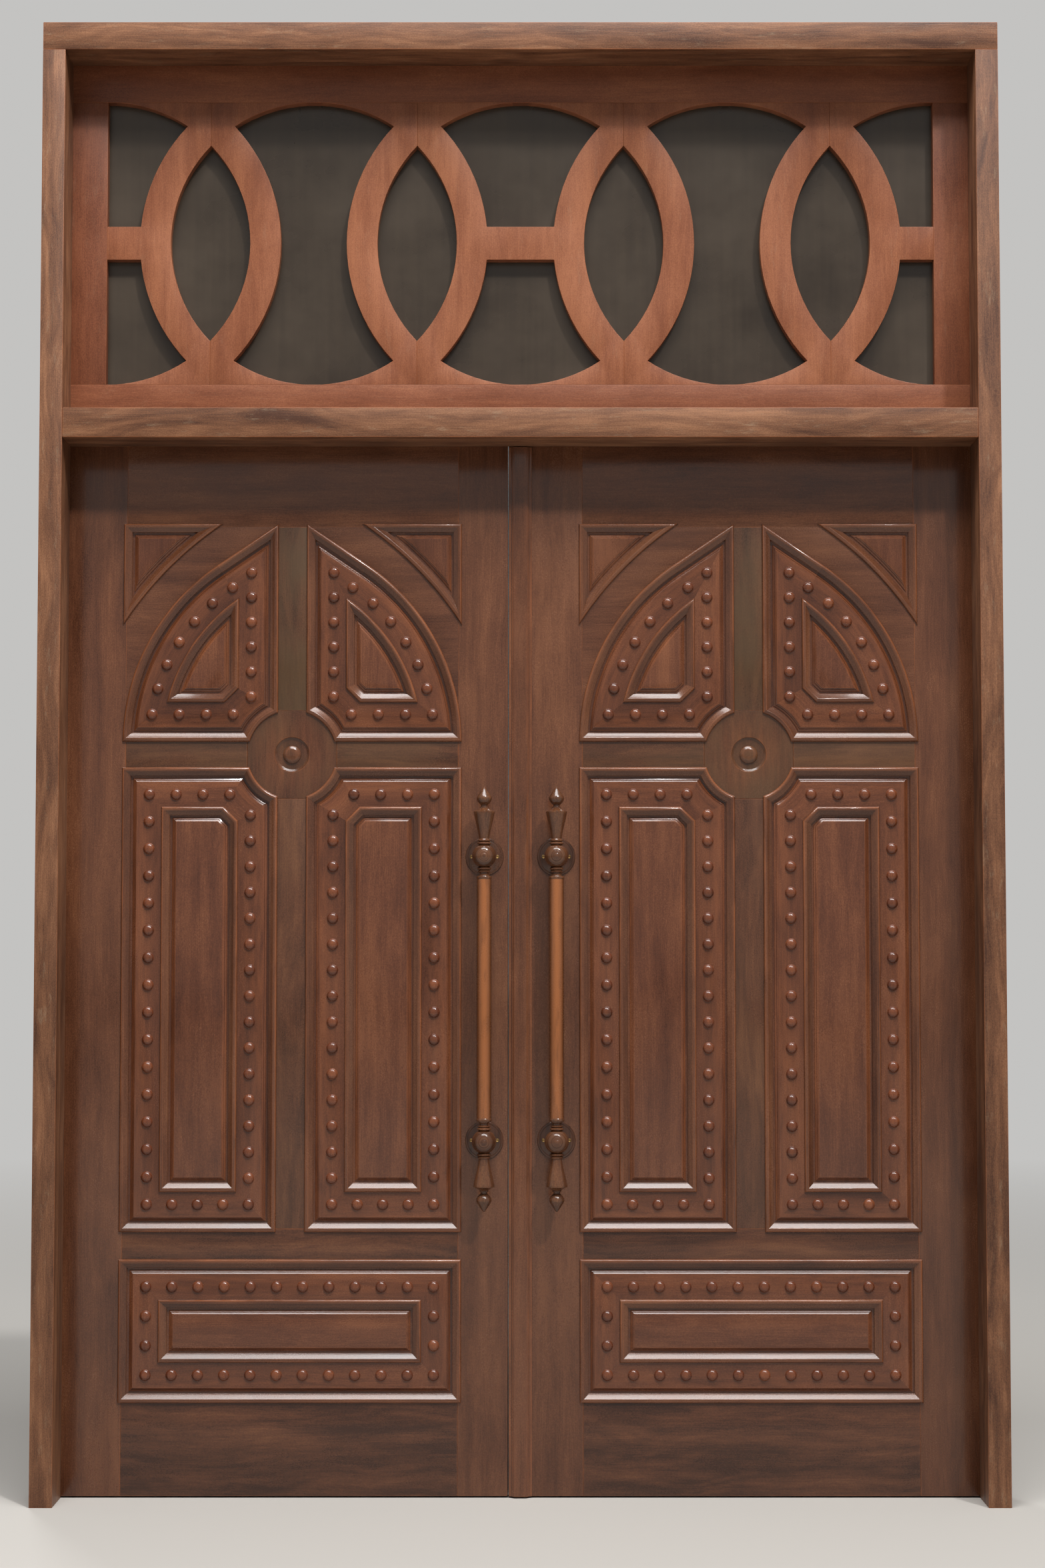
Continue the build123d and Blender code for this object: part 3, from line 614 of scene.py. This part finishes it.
def inner_sides(sides, cut):
    """Sides of the inner panel; its corner at the hub is cut off."""
    moved = [side.shifted(BAND) for side in sides]
    corners = joints(moved)
    made = []
    for side, start, end in zip(moved, corners, corners[1:] + corners[:1]):
        made.append(Straight(start, end) if isinstance(side, Straight) else side)
    if cut is None:
        return made
    corner = corners[cut]
    before, after = made[cut - 1], made[cut]
    low, high = corner - before.way * CHAMFER, corner + after.way * CHAMFER
    made[cut - 1] = Straight(before.start, low)
    made[cut] = Straight(high, after.end)
    made.insert(cut, Straight(low, high))
    return made


# Mesh building

class Shape:
    """Faces with their grain, wear and board, which become one piece."""

    def __init__(self):
        self.points = []
        self.faces = []
        self.corners = []
        self.boards = 0

    def board(self):
        """Number of a new board, with its own tone and place in the wood."""
        self.boards += 1
        return self.boards - 1

    def add(self, points):
        """Puts points (x, z, height) down, repeated ones once, and returns their numbers."""
        numbers = []
        for x, z, h in points:
            if not numbers or self.points[-1] != (x, -h, z):
                self.points.append((x, -h, z))
            numbers.append(len(self.points) - 1)
        return numbers

    def face(self, indices, grains, wears, board):
        """One face, with a grain vector and a wear for each corner; repeated corners count once."""
        kept = [i for i, index in enumerate(indices) if index != indices[i - 1]]
        if len(kept) < 3:
            return
        self.faces.append([indices[i] for i in kept])
        self.corners += [(grains[i], wears[i], board) for i in kept]

    def loops(self, rings, heights, wears, sides, boards, wrap):
        """Quads between rings round an outline, with the grain along its sides."""
        rows = [self.add([(p.x, p.y, h) for p in points]) for points, h in zip(rings, heights)]
        count = len(rings[0])
        pairs = list(range(len(rings) - 1)) + ([-1] if wrap else [])
        for k in pairs:
            near, far = k % len(rings), k + 1
            for j in range(count):
                after = (j + 1) % count
                spots = ((near, j), (near, after), (far, after), (far, j))
                grains = [(*sides[j].grain(rings[r][i]), heights[r]) for r, i in spots]
                worn = [wears[r] for r, _ in spots]
                self.face([rows[r][i] for r, i in spots], grains, worn, boards[j])
        return rows

    def cap(self, row, points, height, board, wear, upright, back=False):
        """Flat face inside a ring."""
        grains = [(p.y, p.x, height) if upright else (p.x, p.y, height) for p in points]
        order = range(len(row))
        if back:
            order = order[::-1]
        self.face([row[i] for i in order], [grains[i] for i in order], [wear] * len(row), board)

    def turn(
        self, centre, rings, wears, steps, board,
        axis="y", flip=False, shape=None, front_highlight_and_polish=False, ringed=False,
    ):
        """Closed turned form round an axis, from rings of (radius, distance along it)."""
        rows = []
        places = []
        for radius, rise in rings:
            row = []
            for i in range(steps):
                angle = math.tau * i / steps
                reach = shape(angle, radius) if shape else radius
                side, up = reach * math.cos(angle), reach * math.sin(angle)
                if axis == "y":
                    row.append((centre[0] + side, centre[1] + up, centre[2] + rise))
                else:
                    row.append((centre[0] + side, centre[1] + rise, centre[2] - up))
            places.append(row)
            rows.append(self.add(row))
        for k in range(len(rings) - 1):
            for i in range(steps):
                after = (i + 1) % steps
                spots = [(k, i), (k, after), (k + 1, after), (k + 1, i)]
                if flip:
                    spots.reverse()
                grains, worn = [], []
                for r, j in spots:
                    place = places[r][j]
                    grains.append(ring_grain(place, centre) if ringed else upright_grain(place))
                    # For the rod, wear fades from the front to the sides: a painted highlight on its front
                    # and painted shade at its sides, partly hand-polished wear
                    worn.append(wears[r] * front(place, centre) if front_highlight_and_polish else wears[r])
                self.face([rows[r][j] for r, j in spots], grains, worn, board)
        for end, turned_over in ((0, not flip), (-1, flip)):
            order = list(range(steps))
            if turned_over:
                order.reverse()
            grains = [upright_grain(places[end][i]) for i in order]
            self.face([rows[end][i] for i in order], grains, [wears[end]] * steps, board)

    def piece(
        self, name, slot_name, body, nodes,
        side=1, tone=0.0, spread=0.3, sharp=32.0, green=0.0, look="",
    ):
        """Makes the object, mirrored for the right leaf, and puts it on its body."""
        mesh = bpy.data.meshes.new(name)
        faces = self.faces if side > 0 else [list(reversed(f)) for f in self.faces]
        mesh.from_pydata([(side * x * MM, y * MM, z * MM) for x, y, z in self.points], [], faces)
        tones = [(somewhere(), tone + chance.uniform(-1, 1) * spread) for _ in range(self.boards)]
        grains, finishes = [], []
        start = 0
        for face in self.faces:
            corners = self.corners[start:start + len(face)]
            start += len(face)
            if side < 0:
                corners = corners[::-1]
            for grain, wear, board in corners:
                place, bright = tones[board]
                grains.extend(Vector(grain) * MM + place)
                finishes.extend((bright, green, wear))
        for label, values in (("grain", grains), ("finish", finishes)):
            layer = mesh.attributes.new(label, "FLOAT_VECTOR", "CORNER")
            layer.data.foreach_set("vector", values)
        return finished(name, mesh, slot_name, body, nodes, sharp, look)


def somewhere():
    """Random place in the wood, in metres."""
    reach = 9
    return Vector((chance.uniform(0, reach) for _ in range(3)))


def front(point, centre):
    """How far a point of an upright turned form faces forwards, from 0 to 1; on the rod it places the
    painted highlight and shade.
    """
    side, ahead = point[0] - centre[0], point[2] - centre[2]
    return max(0.0, ahead / math.hypot(side, ahead)) ** 2


def ring_grain(point, centre):
    """Grain in rings round the axis of a form turned from front to back."""
    return 0.0, math.hypot(point[0] - centre[0], point[1] - centre[1]), point[2]


def upright_grain(point):
    """Grain that runs up a turned form."""
    x, z, height = point
    return z, x, height


def finished(name, mesh, slot_name, body, nodes, sharp, look=""):
    """Object of a mesh with its material, body and the nodes that it stands for."""
    mesh.polygons.foreach_set("use_smooth", [True] * len(mesh.polygons))
    mesh.set_sharp_from_angle(angle=math.radians(sharp))
    piece = bpy.data.objects.new(name, mesh)
    bpy.context.scene.collection.objects.link(piece)
    mesh.materials.append(materials[look or slot_name])
    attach(piece, body)
    if nodes:
        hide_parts(*nodes)
    return piece


def side_boards(shape, sides):
    """A board for each side of an outline, repeated for each stretch of its ring."""
    numbers = {id(side): shape.board() for side in sides}
    return [numbers[id(side)] for side in owners(sides)]


def moulding_ring(shape, sides):
    """Mitred moulding round an outline."""
    rings = [ring(sides, inset) for inset, _, _ in MOULDING]
    heights = [height for _, height, _ in MOULDING]
    wears = [wear for _, _, wear in MOULDING]
    shape.loops(rings, heights, wears, owners(sides), side_boards(shape, sides), True)


def raised_board(shape, sides, upright=True):
    """Board with a margin, a moulded bevel and a raised field."""
    section = ((BOARD_EDGE, FIELD_BACK, 0.0), (BOARD_EDGE, SHELF, 0.0), *BEVEL)
    rings = [ring(sides, inset) for inset, _, _ in section]
    heights = [height for _, height, _ in section]
    wears = [wear for _, _, wear in section]
    board = shape.board()
    count = len(rings[0])
    rows = shape.loops(rings, heights, wears, [Flat(upright)] * count, [board] * count, False)
    shape.cap(rows[-1], rings[-1], heights[-1], board, 0.0, upright)
    shape.cap(rows[0], rings[0], heights[0], board, 0.0, upright, back=True)


class Flat:
    """Grain of one wide board, upright or level."""

    def __init__(self, upright):
        self.upright = upright

    def grain(self, point):
        return (point.y, point.x) if self.upright else (point.x, point.y)


def band_ring(shape, outer, inner):
    """Studded band: boards mitred round the inner panel, with a moulded bevel outside."""
    section = ((BOARD_EDGE, BAND_BACK, 0.0), (BOARD_EDGE, SHELF, 0.0), *BEVEL)
    rings = [ring(outer, inset) for inset, _, _ in section]
    rings += [ring_like(outer, inner, LIP), ring_like(outer, inner, LIP)]
    heights = [height for _, height, _ in section] + [0.0, BAND_BACK]
    wears = [wear for _, _, wear in section] + [0.0, 0.0]
    shape.loops(rings, heights, wears, owners(outer), side_boards(shape, outer), True)


def ring_like(outer, inner, inset):
    """Ring of the inner outline with as many points as the outer one; a side it has lost is a point."""
    moved = [side.shifted(inset) for side in inner]
    corners = joints(moved)
    straights = [side for side in outer if isinstance(side, Straight)]
    lost = None
    if len(outer) > len(inner):
        lost = min(straights, key=lambda side: (side.end - side.start).length)
    points = []
    turn = 0
    for pattern in outer:
        first = corners[turn % len(moved)]
        if pattern is lost:
            points.append(first)
            continue
        side, last = moved[turn], corners[(turn + 1) % len(moved)]
        turn += 1
        if isinstance(pattern, Round) and isinstance(side, Straight):
            points += [first.lerp(last, step / ARC_STEPS) for step in range(ARC_STEPS)]
        else:
            points += side.samples(first, last)
    return points


def doubled(sides):
    """An outline and its twin across the muntin, run the same way round."""
    twins = []
    for side in reversed(sides):
        if isinstance(side, Straight):
            twins.append(Straight(across(side.end), across(side.start)))
        else:
            angle = math.pi - side.angle - side.turn
            twins.append(Round(across(side.centre), side.radius, angle, side.turn))
    return sides, twins


def across(point):
    """A point's twin across the muntin."""
    return Vector((2 * HUB.x - point.x, point.y))


arch_outer, arch_square, arch_cut = arch_sides()
long_outer, long_square, long_cut = long_sides()
bottom_outer, bottom_square, bottom_cut = bottom_sides()
spandrel = spandrel_sides()
arch_inner = inner_sides(arch_square, arch_cut)
long_inner = inner_sides(long_square, long_cut)
bottom_inner = inner_sides(bottom_square, bottom_cut)
SIDE_PANELS = ((arch_outer, arch_inner), (long_outer, long_inner))


def all_outer():
    """Outlines of the outer mouldings."""
    for outline in (arch_outer, long_outer, spandrel):
        yield from doubled(outline)
    yield bottom_outer


def all_inner():
    """Outlines of the inner panels."""
    for outline in (arch_inner, long_inner):
        yield from doubled(outline)
    yield bottom_inner


# Wood and tone of each kind of carving
CARVING_LOOKS = {
    "outer_mouldings": ("leaf_wood", -0.1),
    "inner_mouldings": ("leaf_wood", -0.1),
    "stud_bands": ("panel_wood", -0.2),
    "raised_panels": ("panel_wood", 0.35),
}


def carve_leaf():
    """Shapes of a leaf's carving, by name."""
    shapes = {name: Shape() for name in CARVING_LOOKS}
    for sides in all_outer():
        moulding_ring(shapes["outer_mouldings"], sides)
    for sides in all_inner():
        moulding_ring(shapes["inner_mouldings"], sides)
    for outer, inner in SIDE_PANELS:
        for one, other in zip(doubled(outer), doubled(inner)):
            band_ring(shapes["stud_bands"], one, other)
            raised_board(shapes["raised_panels"], other)
    band_ring(shapes["stud_bands"], bottom_outer, bottom_inner)
    raised_board(shapes["raised_panels"], bottom_inner, upright=False)
    for sides in doubled(spandrel):
        raised_board(shapes["raised_panels"], sides)
    return shapes


for name, shape in carve_leaf().items():
    slot_name, tone = CARVING_LOOKS[name]
    for side, word in LEAF_SIDES:
        shape.piece(f"{word}_{name}_carved", slot_name, f"{word}_leaf", [f"{word}_{name}"], side, tone=tone)


# Studs, one dome on the place of each

def rings_and_wears(section):
    """Rings of a turned section, and their wear."""
    return [(r, h) for r, h, _ in section], [w for _, _, w in section]


def stud_places(node):
    """Middle of each stud, at the tip of its solid."""
    points = [v.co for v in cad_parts[node].data.vertices]
    front_line = min(point.y for point in points) + MM / 10
    return sorted({(round(p.x / MM, 1), round(p.z / MM, 1)) for p in points if p.y < front_line})


for word in LEAVES:
    studs = Shape()
    for x, z in stud_places(f"{word}_studs"):
        studs.turn((x, z, 0.0), *rings_and_wears(STUD), STUD_STEPS, studs.board())
    studs.piece(f"{word}_studs_domed", "stud_wood", f"{word}_leaf", [f"{word}_studs"])


# Hub blocks with their rosettes

def hub_reach(angle, radius):
    """Radius of the hub block's ring at an angle: a disc cut square by its neighbours."""
    if radius <= ROSETTE[-1][0]:
        return radius
    easing = HUB_DISC - radius
    cuts = [HUB_DISC]
    for part, half in ((math.cos(angle), HUB_HALF.x), (math.sin(angle), HUB_HALF.y)):
        if abs(part) * HUB_DISC > TOUCHING:
            cuts.append(half / abs(part))
    return min(cuts) - easing


for side, word in LEAF_SIDES:
    hub = Shape()
    section = rings_and_wears((*ROSETTE, *HUB_RIM)[::-1])
    hub.turn((*HUB, 0.0), *section, HUB_STEPS, hub.board(), shape=hub_reach)
    hub.piece(
        f"{word}_hub_block_turned", "leaf_wood", f"{word}_leaf", [f"{word}_hub_block"],
        side, tone=-0.4, spread=0.1, sharp=25.0, green=0.55,
    )


# Handles

def handle_shapes():
    """Turned ends, rod, plates and screws of the left handle."""
    ends, rod, plates, screws = Shape(), Shape(), Shape(), Shape()
    low, high = HANDLE_LEVELS
    angles = [math.radians(degrees) for degrees in BALL_DEGREES]
    ball = [(BALL_RADIUS * math.sin(angle), BALL_RADIUS * math.cos(angle)) for angle in angles]
    for level, way in ((low, -1), (high, 1)):
        centre = (HANDLE_X, level, HANDLE_STANDOFF)
        board = ends.board()
        for rings in (END_RINGS, CUP_RINGS):
            moved = [(radius, way * rise) for radius, rise in rings]
            ends.turn(centre, moved, [END_WEAR] * len(moved), TURNED_STEPS, board, "z", flip=way < 0)
        profile = [*POST, *ball, *reversed(BALL_FRONT)]
        ends.turn(centre, profile, [BALL_WEAR] * len(profile), TURNED_STEPS, board, ringed=True)
        plates.turn((HANDLE_X, level, 0.0), PLATE, [PLATE_WEAR] * len(PLATE), PLATE_STEPS, plates.board())
        for shift in (-SCREW_OFFSET, SCREW_OFFSET):
            place = (HANDLE_X + shift, level, 0.0)
            screws.turn(place, SCREW, [SCREW_WEAR] * len(SCREW), SCREW_STEPS, screws.board())
    reach = high - low - 2 * ROD_REACH
    length = [*ROD_EASING, *((radius, reach - rise) for radius, rise in reversed(ROD_EASING))]
    middle = (HANDLE_X, low + ROD_REACH, HANDLE_STANDOFF)
    # The rod's wear follows how far it faces forwards: painted highlight on the front, painted shade at the
    # sides, partly hand-polished wear
    rod.turn(middle, length, [1.0] * len(length), TURNED_STEPS, rod.board(), "z", front_highlight_and_polish=True)
    return ends, rod, plates, screws


for side, word in LEAF_SIDES:
    ends, rod, plates, screws = handle_shapes()
    body = f"{word}_leaf"
    ends.piece(f"{word}_handle_ends_turned", "handle_wood", body, [f"{word}_handle_ends"], side)
    rod.piece(f"{word}_handle_rod_round", "rod_wood", body, [f"{word}_handle_rod"], side)
    # The plates' low tone is painted shade, standing for the shade that the handle ends cast on them
    plates.piece(
        f"{word}_handle_plates_turned", "handle_wood", body, [f"{word}_handle_plates"],
        side, tone=-1.6, spread=0.1,
    )
    screws.piece(f"{word}_handle_screws", "steel", body, [], side, look="brass")


# Cover strip

def cover_strip():
    """Moulded strip, run from near the floor to the top."""
    section = [(-x, h, w) for x, h, w in reversed(STRIP_HALF)] + list(STRIP_HALF[1:])
    levels = (strip_low.z, strip_high.z)
    shape = Shape()
    board = shape.board()
    rows = [shape.add([(x, z, h) for x, h, _ in section]) for z in levels]
    count = len(section)
    for i in range(count):
        after = (i + 1) % count
        spots = ((0, i), (0, after), (1, after), (1, i))
        grains = [(levels[r], section[j][0], section[j][1]) for r, j in spots]
        shape.face([rows[r][j] for r, j in spots], grains, [section[j][2] for _, j in spots], board)
    for row, level, order in ((rows[0], levels[0], range(count)[::-1]), (rows[1], levels[1], range(count))):
        grains = [(level, section[i][0], section[i][1]) for i in order]
        shape.face([row[i] for i in order], grains, [0.0] * count, board)
    return shape


cover_strip().piece(
    "right_cover_strip_moulded", "leaf_wood", "right_leaf", ["right_cover_strip"], sharp=28.0,
)


# Boards whose solids are right and only get eased edges and their grain

# Section and wear of an eased edge, and what counts as one point, one plane and an edge
EASED_STEPS = 2
EASED_ROUND = 0.6
EASED_WEAR = 0.8
EASED_SHARP = 30.0
SAME_POINT = 1e-6
SAME_PLANE = math.radians(1.0)
ARRIS = math.radians(35)


def eased(node, slot_name, body, upright, width=1.2, green=0.0, tone=None, lean=0.0):
    """Copy of a board with eased arrises, its grain up or across."""
    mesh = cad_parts[node].data.copy()
    if lean:
        edge = max((v.co.x for v in mesh.vertices), key=lambda x: x * lean)
        for point in mesh.vertices:
            if abs(point.co.x - edge) < MM and point.co.y > LEAF * MM / 2:
                point.co.x += lean * MM
    mesh.materials.clear()
    form = bmesh.new()
    form.from_mesh(mesh)
    bmesh.ops.remove_doubles(form, verts=form.verts, dist=SAME_POINT)
    bmesh.ops.dissolve_limit(form, angle_limit=SAME_PLANE, verts=form.verts, edges=form.edges)
    sharp = [e for e in form.edges if len(e.link_faces) == 2 and e.calc_face_angle(0.0) > ARRIS]
    marked = form.faces.layers.int.new("flat")
    for face in form.faces:
        face[marked] = 1
    made = bmesh.ops.bevel(
        form, geom=sharp, offset=width * MM, segments=EASED_STEPS, profile=EASED_ROUND,
        affect="EDGES", clamp_overlap=True,
    )
    for face in made["faces"]:
        face[marked] = 0
    bmesh.ops.triangulate(form, faces=[f for f in form.faces if len(f.verts) > 4])
    form.to_mesh(mesh)
    form.free()
    flats = [value.value for value in mesh.attributes["flat"].data]
    place = somewhere()
    bright = chance.uniform(-0.5, 0.5) if tone is None else tone
    grains, finishes = [], []
    for face, is_flat in zip(mesh.polygons, flats):
        for index in face.vertices:
            x, y, z = mesh.vertices[index].co
            grain = Vector((z, x, y)) if upright else Vector((x, z, y))
            grains.extend(grain + place)
            finishes.extend((bright, green, 0.0 if is_flat else EASED_WEAR))
    for label, values in (("grain", grains), ("finish", finishes)):
        layer = mesh.attributes.new(label, "FLOAT_VECTOR", "CORNER")
        layer.data.foreach_set("vector", values)
    return finished(f"{node}_eased", mesh, slot_name, body, [node], EASED_SHARP)


# Boards of the frame: wood, whether the grain runs up, and width of the eased edge
FRAME_BOARDS = {
    "left_jamb": ("frame_wood", True, 2.0),
    "right_jamb": ("frame_wood", True, 2.0),
    "head": ("frame_wood", False, 2.0),
    "transom_rail": ("frame_wood", False, 2.5),
    "fretwork_stiles": ("fretwork_wood", True, 1.2),
    "fretwork_rails": ("fretwork_wood", False, 1.2),
    "fretwork_boards": ("fretwork_wood", True, 1.2),
    "glazing_beads": ("fretwork_wood", False, 0.8),
}
# Boards of a leaf: wood, whether the grain runs up, how green and how light; None is by chance
LEAF_BOARDS = {
    "hinge_stile": ("leaf_wood", True, 0.0, 0.0),
    "meeting_stile": ("leaf_wood", True, 0.0, 0.05),
    "top_rail": ("leaf_wood", False, 0.0, None),
    "arch_braces": ("leaf_wood", False, 0.0, None),
    "upper_muntin": ("muntin_wood", True, 0.7, 0.0),
    "lower_muntin": ("muntin_wood", True, 0.15, -0.2),
    "cross_rails": ("muntin_wood", False, 0.35, 0.0),
    "lock_rail": ("muntin_wood", False, 0.0, -0.3),
    "bottom_rail": ("muntin_wood", False, 0.0, -0.7),
}
for node, (slot_name, upright, width) in FRAME_BOARDS.items():
    eased(node, slot_name, "root", upright, width)
for word in LEAVES:
    for base, (slot_name, upright, green, tone) in LEAF_BOARDS.items():
        lean = MEETING_LEAN[word] if base == "meeting_stile" else 0.0
        eased(f"{word}_{base}", slot_name, f"{word}_leaf", upright, green=green, tone=tone, lean=lean)

# Steel parts and the pane keep the form of their solids
PLAIN_PARTS = {
    "frame_hinge_plates": "steel", "hinge_pins": "steel", "bolt_keepers": "steel", "transom_glass": "glass",
}
for word in LEAVES:
    for base in ("hinge_plates", "bolt_guides", "bolt"):
        PLAIN_PARTS[f"{word}_{base}"] = "steel"
for node, slot_name in PLAIN_PARTS.items():
    for material_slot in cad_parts[node].material_slots:
        material_slot.material = materials[slot_name]


# Floor, light and camera

# Brightness of the background, light from all round, and where the floor fades, in metres
PALE_LEVEL = 0.55
WORLD_LIGHT = 0.12
FLOOR_REACH = 90.0
FLOOR_ROUGH = 0.8
FLOOR_FADE = (2.5, 12.0)

# Lamps: place, the point that they face, size and power
LAMPS = {
    "key": ((9.4, -17.7, 23.9), (0.0, 0.0, 1.6), (1.8, 1.8), 4600.0),
    "overhead": ((0.0, -3.0, 7.5), (0.0, -3.0, 0.0), (4.2, 3.4), 600.0),
    "behind": ((-6.0, 16.0, 12.0), (0.0, 0.0, 1.6), (4.0, 4.0), 900.0),
}

# Where the photograph was taken from, in metres, degrees and millimetres
CAMERA_PLACE = (0.0049, -6.820, 1.222)
CAMERA_TILT = 93.448
CAMERA_LENS = 101.57
CAMERA_SENSOR = 36.0


def pale_stage():
    """Plain pale floor that fades into the background far from the door."""
    corners = [(x * FLOOR_REACH, y * FLOOR_REACH, 0) for x, y in ((-1, -1), (1, -1), (1, 1), (-1, 1))]
    mesh = bpy.data.meshes.new("floor")
    mesh.from_pydata(corners, [], [range(len(corners))])
    floor = bpy.data.objects.new("floor", mesh)
    bpy.context.scene.collection.objects.link(floor)
    t = Tree("pale_floor")
    t.shader.inputs["Base Color"].default_value = linear(FLOOR)
    t.shader.inputs["Roughness"].default_value = FLOOR_ROUGH
    away = t.node("VectorMath", {"operation": "LENGTH"})
    t.put(t.node("TexCoord").outputs["Object"], away.inputs[0])
    seen = t.node("LightPath").outputs["Is Camera Ray"]
    far = t.maths("MULTIPLY", seen, t.between(away.outputs["Value"], *FLOOR_FADE))
    glow = t.node("Emission", Color=PALE, Strength=PALE_LEVEL)
    blend = t.node("MixShader", Fac=far)
    t.put(t.shader.outputs[0], blend.inputs[1])
    t.put(glow.outputs[0], blend.inputs[2])
    t.put(blend.outputs[0], t.tree.nodes["Material Output"].inputs["Surface"])
    mesh.materials.append(t.material)


def lamp(name, place, target, size, power):
    """Soft lamp that faces a point."""
    light = bpy.data.lights.new(name, "AREA")
    light.shape = "RECTANGLE"
    light.size, light.size_y = size
    light.energy = power
    lamp_object = bpy.data.objects.new(name, light)
    lamp_object.location = place
    lamp_object.rotation_euler = (Vector(target) - Vector(place)).to_track_quat("-Z", "Y").to_euler()
    bpy.context.scene.collection.objects.link(lamp_object)


def plain_world():
    """Pale surroundings, which light the door less than they show."""
    world = bpy.data.worlds.new("surroundings")
    world.use_nodes = True
    tree = world.node_tree
    background = tree.nodes["Background"]
    background.inputs["Color"].default_value = PALE
    rays = tree.nodes.new("ShaderNodeLightPath")
    seen = rays.outputs["Is Camera Ray"]
    for name in ("Is Glossy Ray", "Is Transmission Ray"):
        either = tree.nodes.new("ShaderNodeMath")
        either.operation = "MAXIMUM"
        tree.links.new(seen, either.inputs[0])
        tree.links.new(rays.outputs[name], either.inputs[1])
        seen = either.outputs[0]
    strength = tree.nodes.new("ShaderNodeMapRange")
    tree.links.new(seen, strength.inputs["Value"])
    strength.inputs["To Min"].default_value = WORLD_LIGHT
    strength.inputs["To Max"].default_value = PALE_LEVEL
    tree.links.new(strength.outputs["Result"], background.inputs["Strength"])
    bpy.context.scene.world = world


def photo_camera():
    """Camera that sees the door as the photograph does."""
    camera = bpy.data.cameras.new("camera")
    camera.sensor_fit = "HORIZONTAL"
    camera.sensor_width = CAMERA_SENSOR
    camera.lens = CAMERA_LENS
    camera_object = bpy.data.objects.new("camera", camera)
    camera_object.location = CAMERA_PLACE
    camera_object.rotation_euler = (math.radians(CAMERA_TILT), 0.0, 0.0)
    bpy.context.scene.collection.objects.link(camera_object)
    bpy.context.scene.camera = camera_object


pale_stage()
for name, settings in LAMPS.items():
    lamp(name, *settings)
plain_world()
photo_camera()
bpy.context.scene.view_settings.view_transform = "Standard"
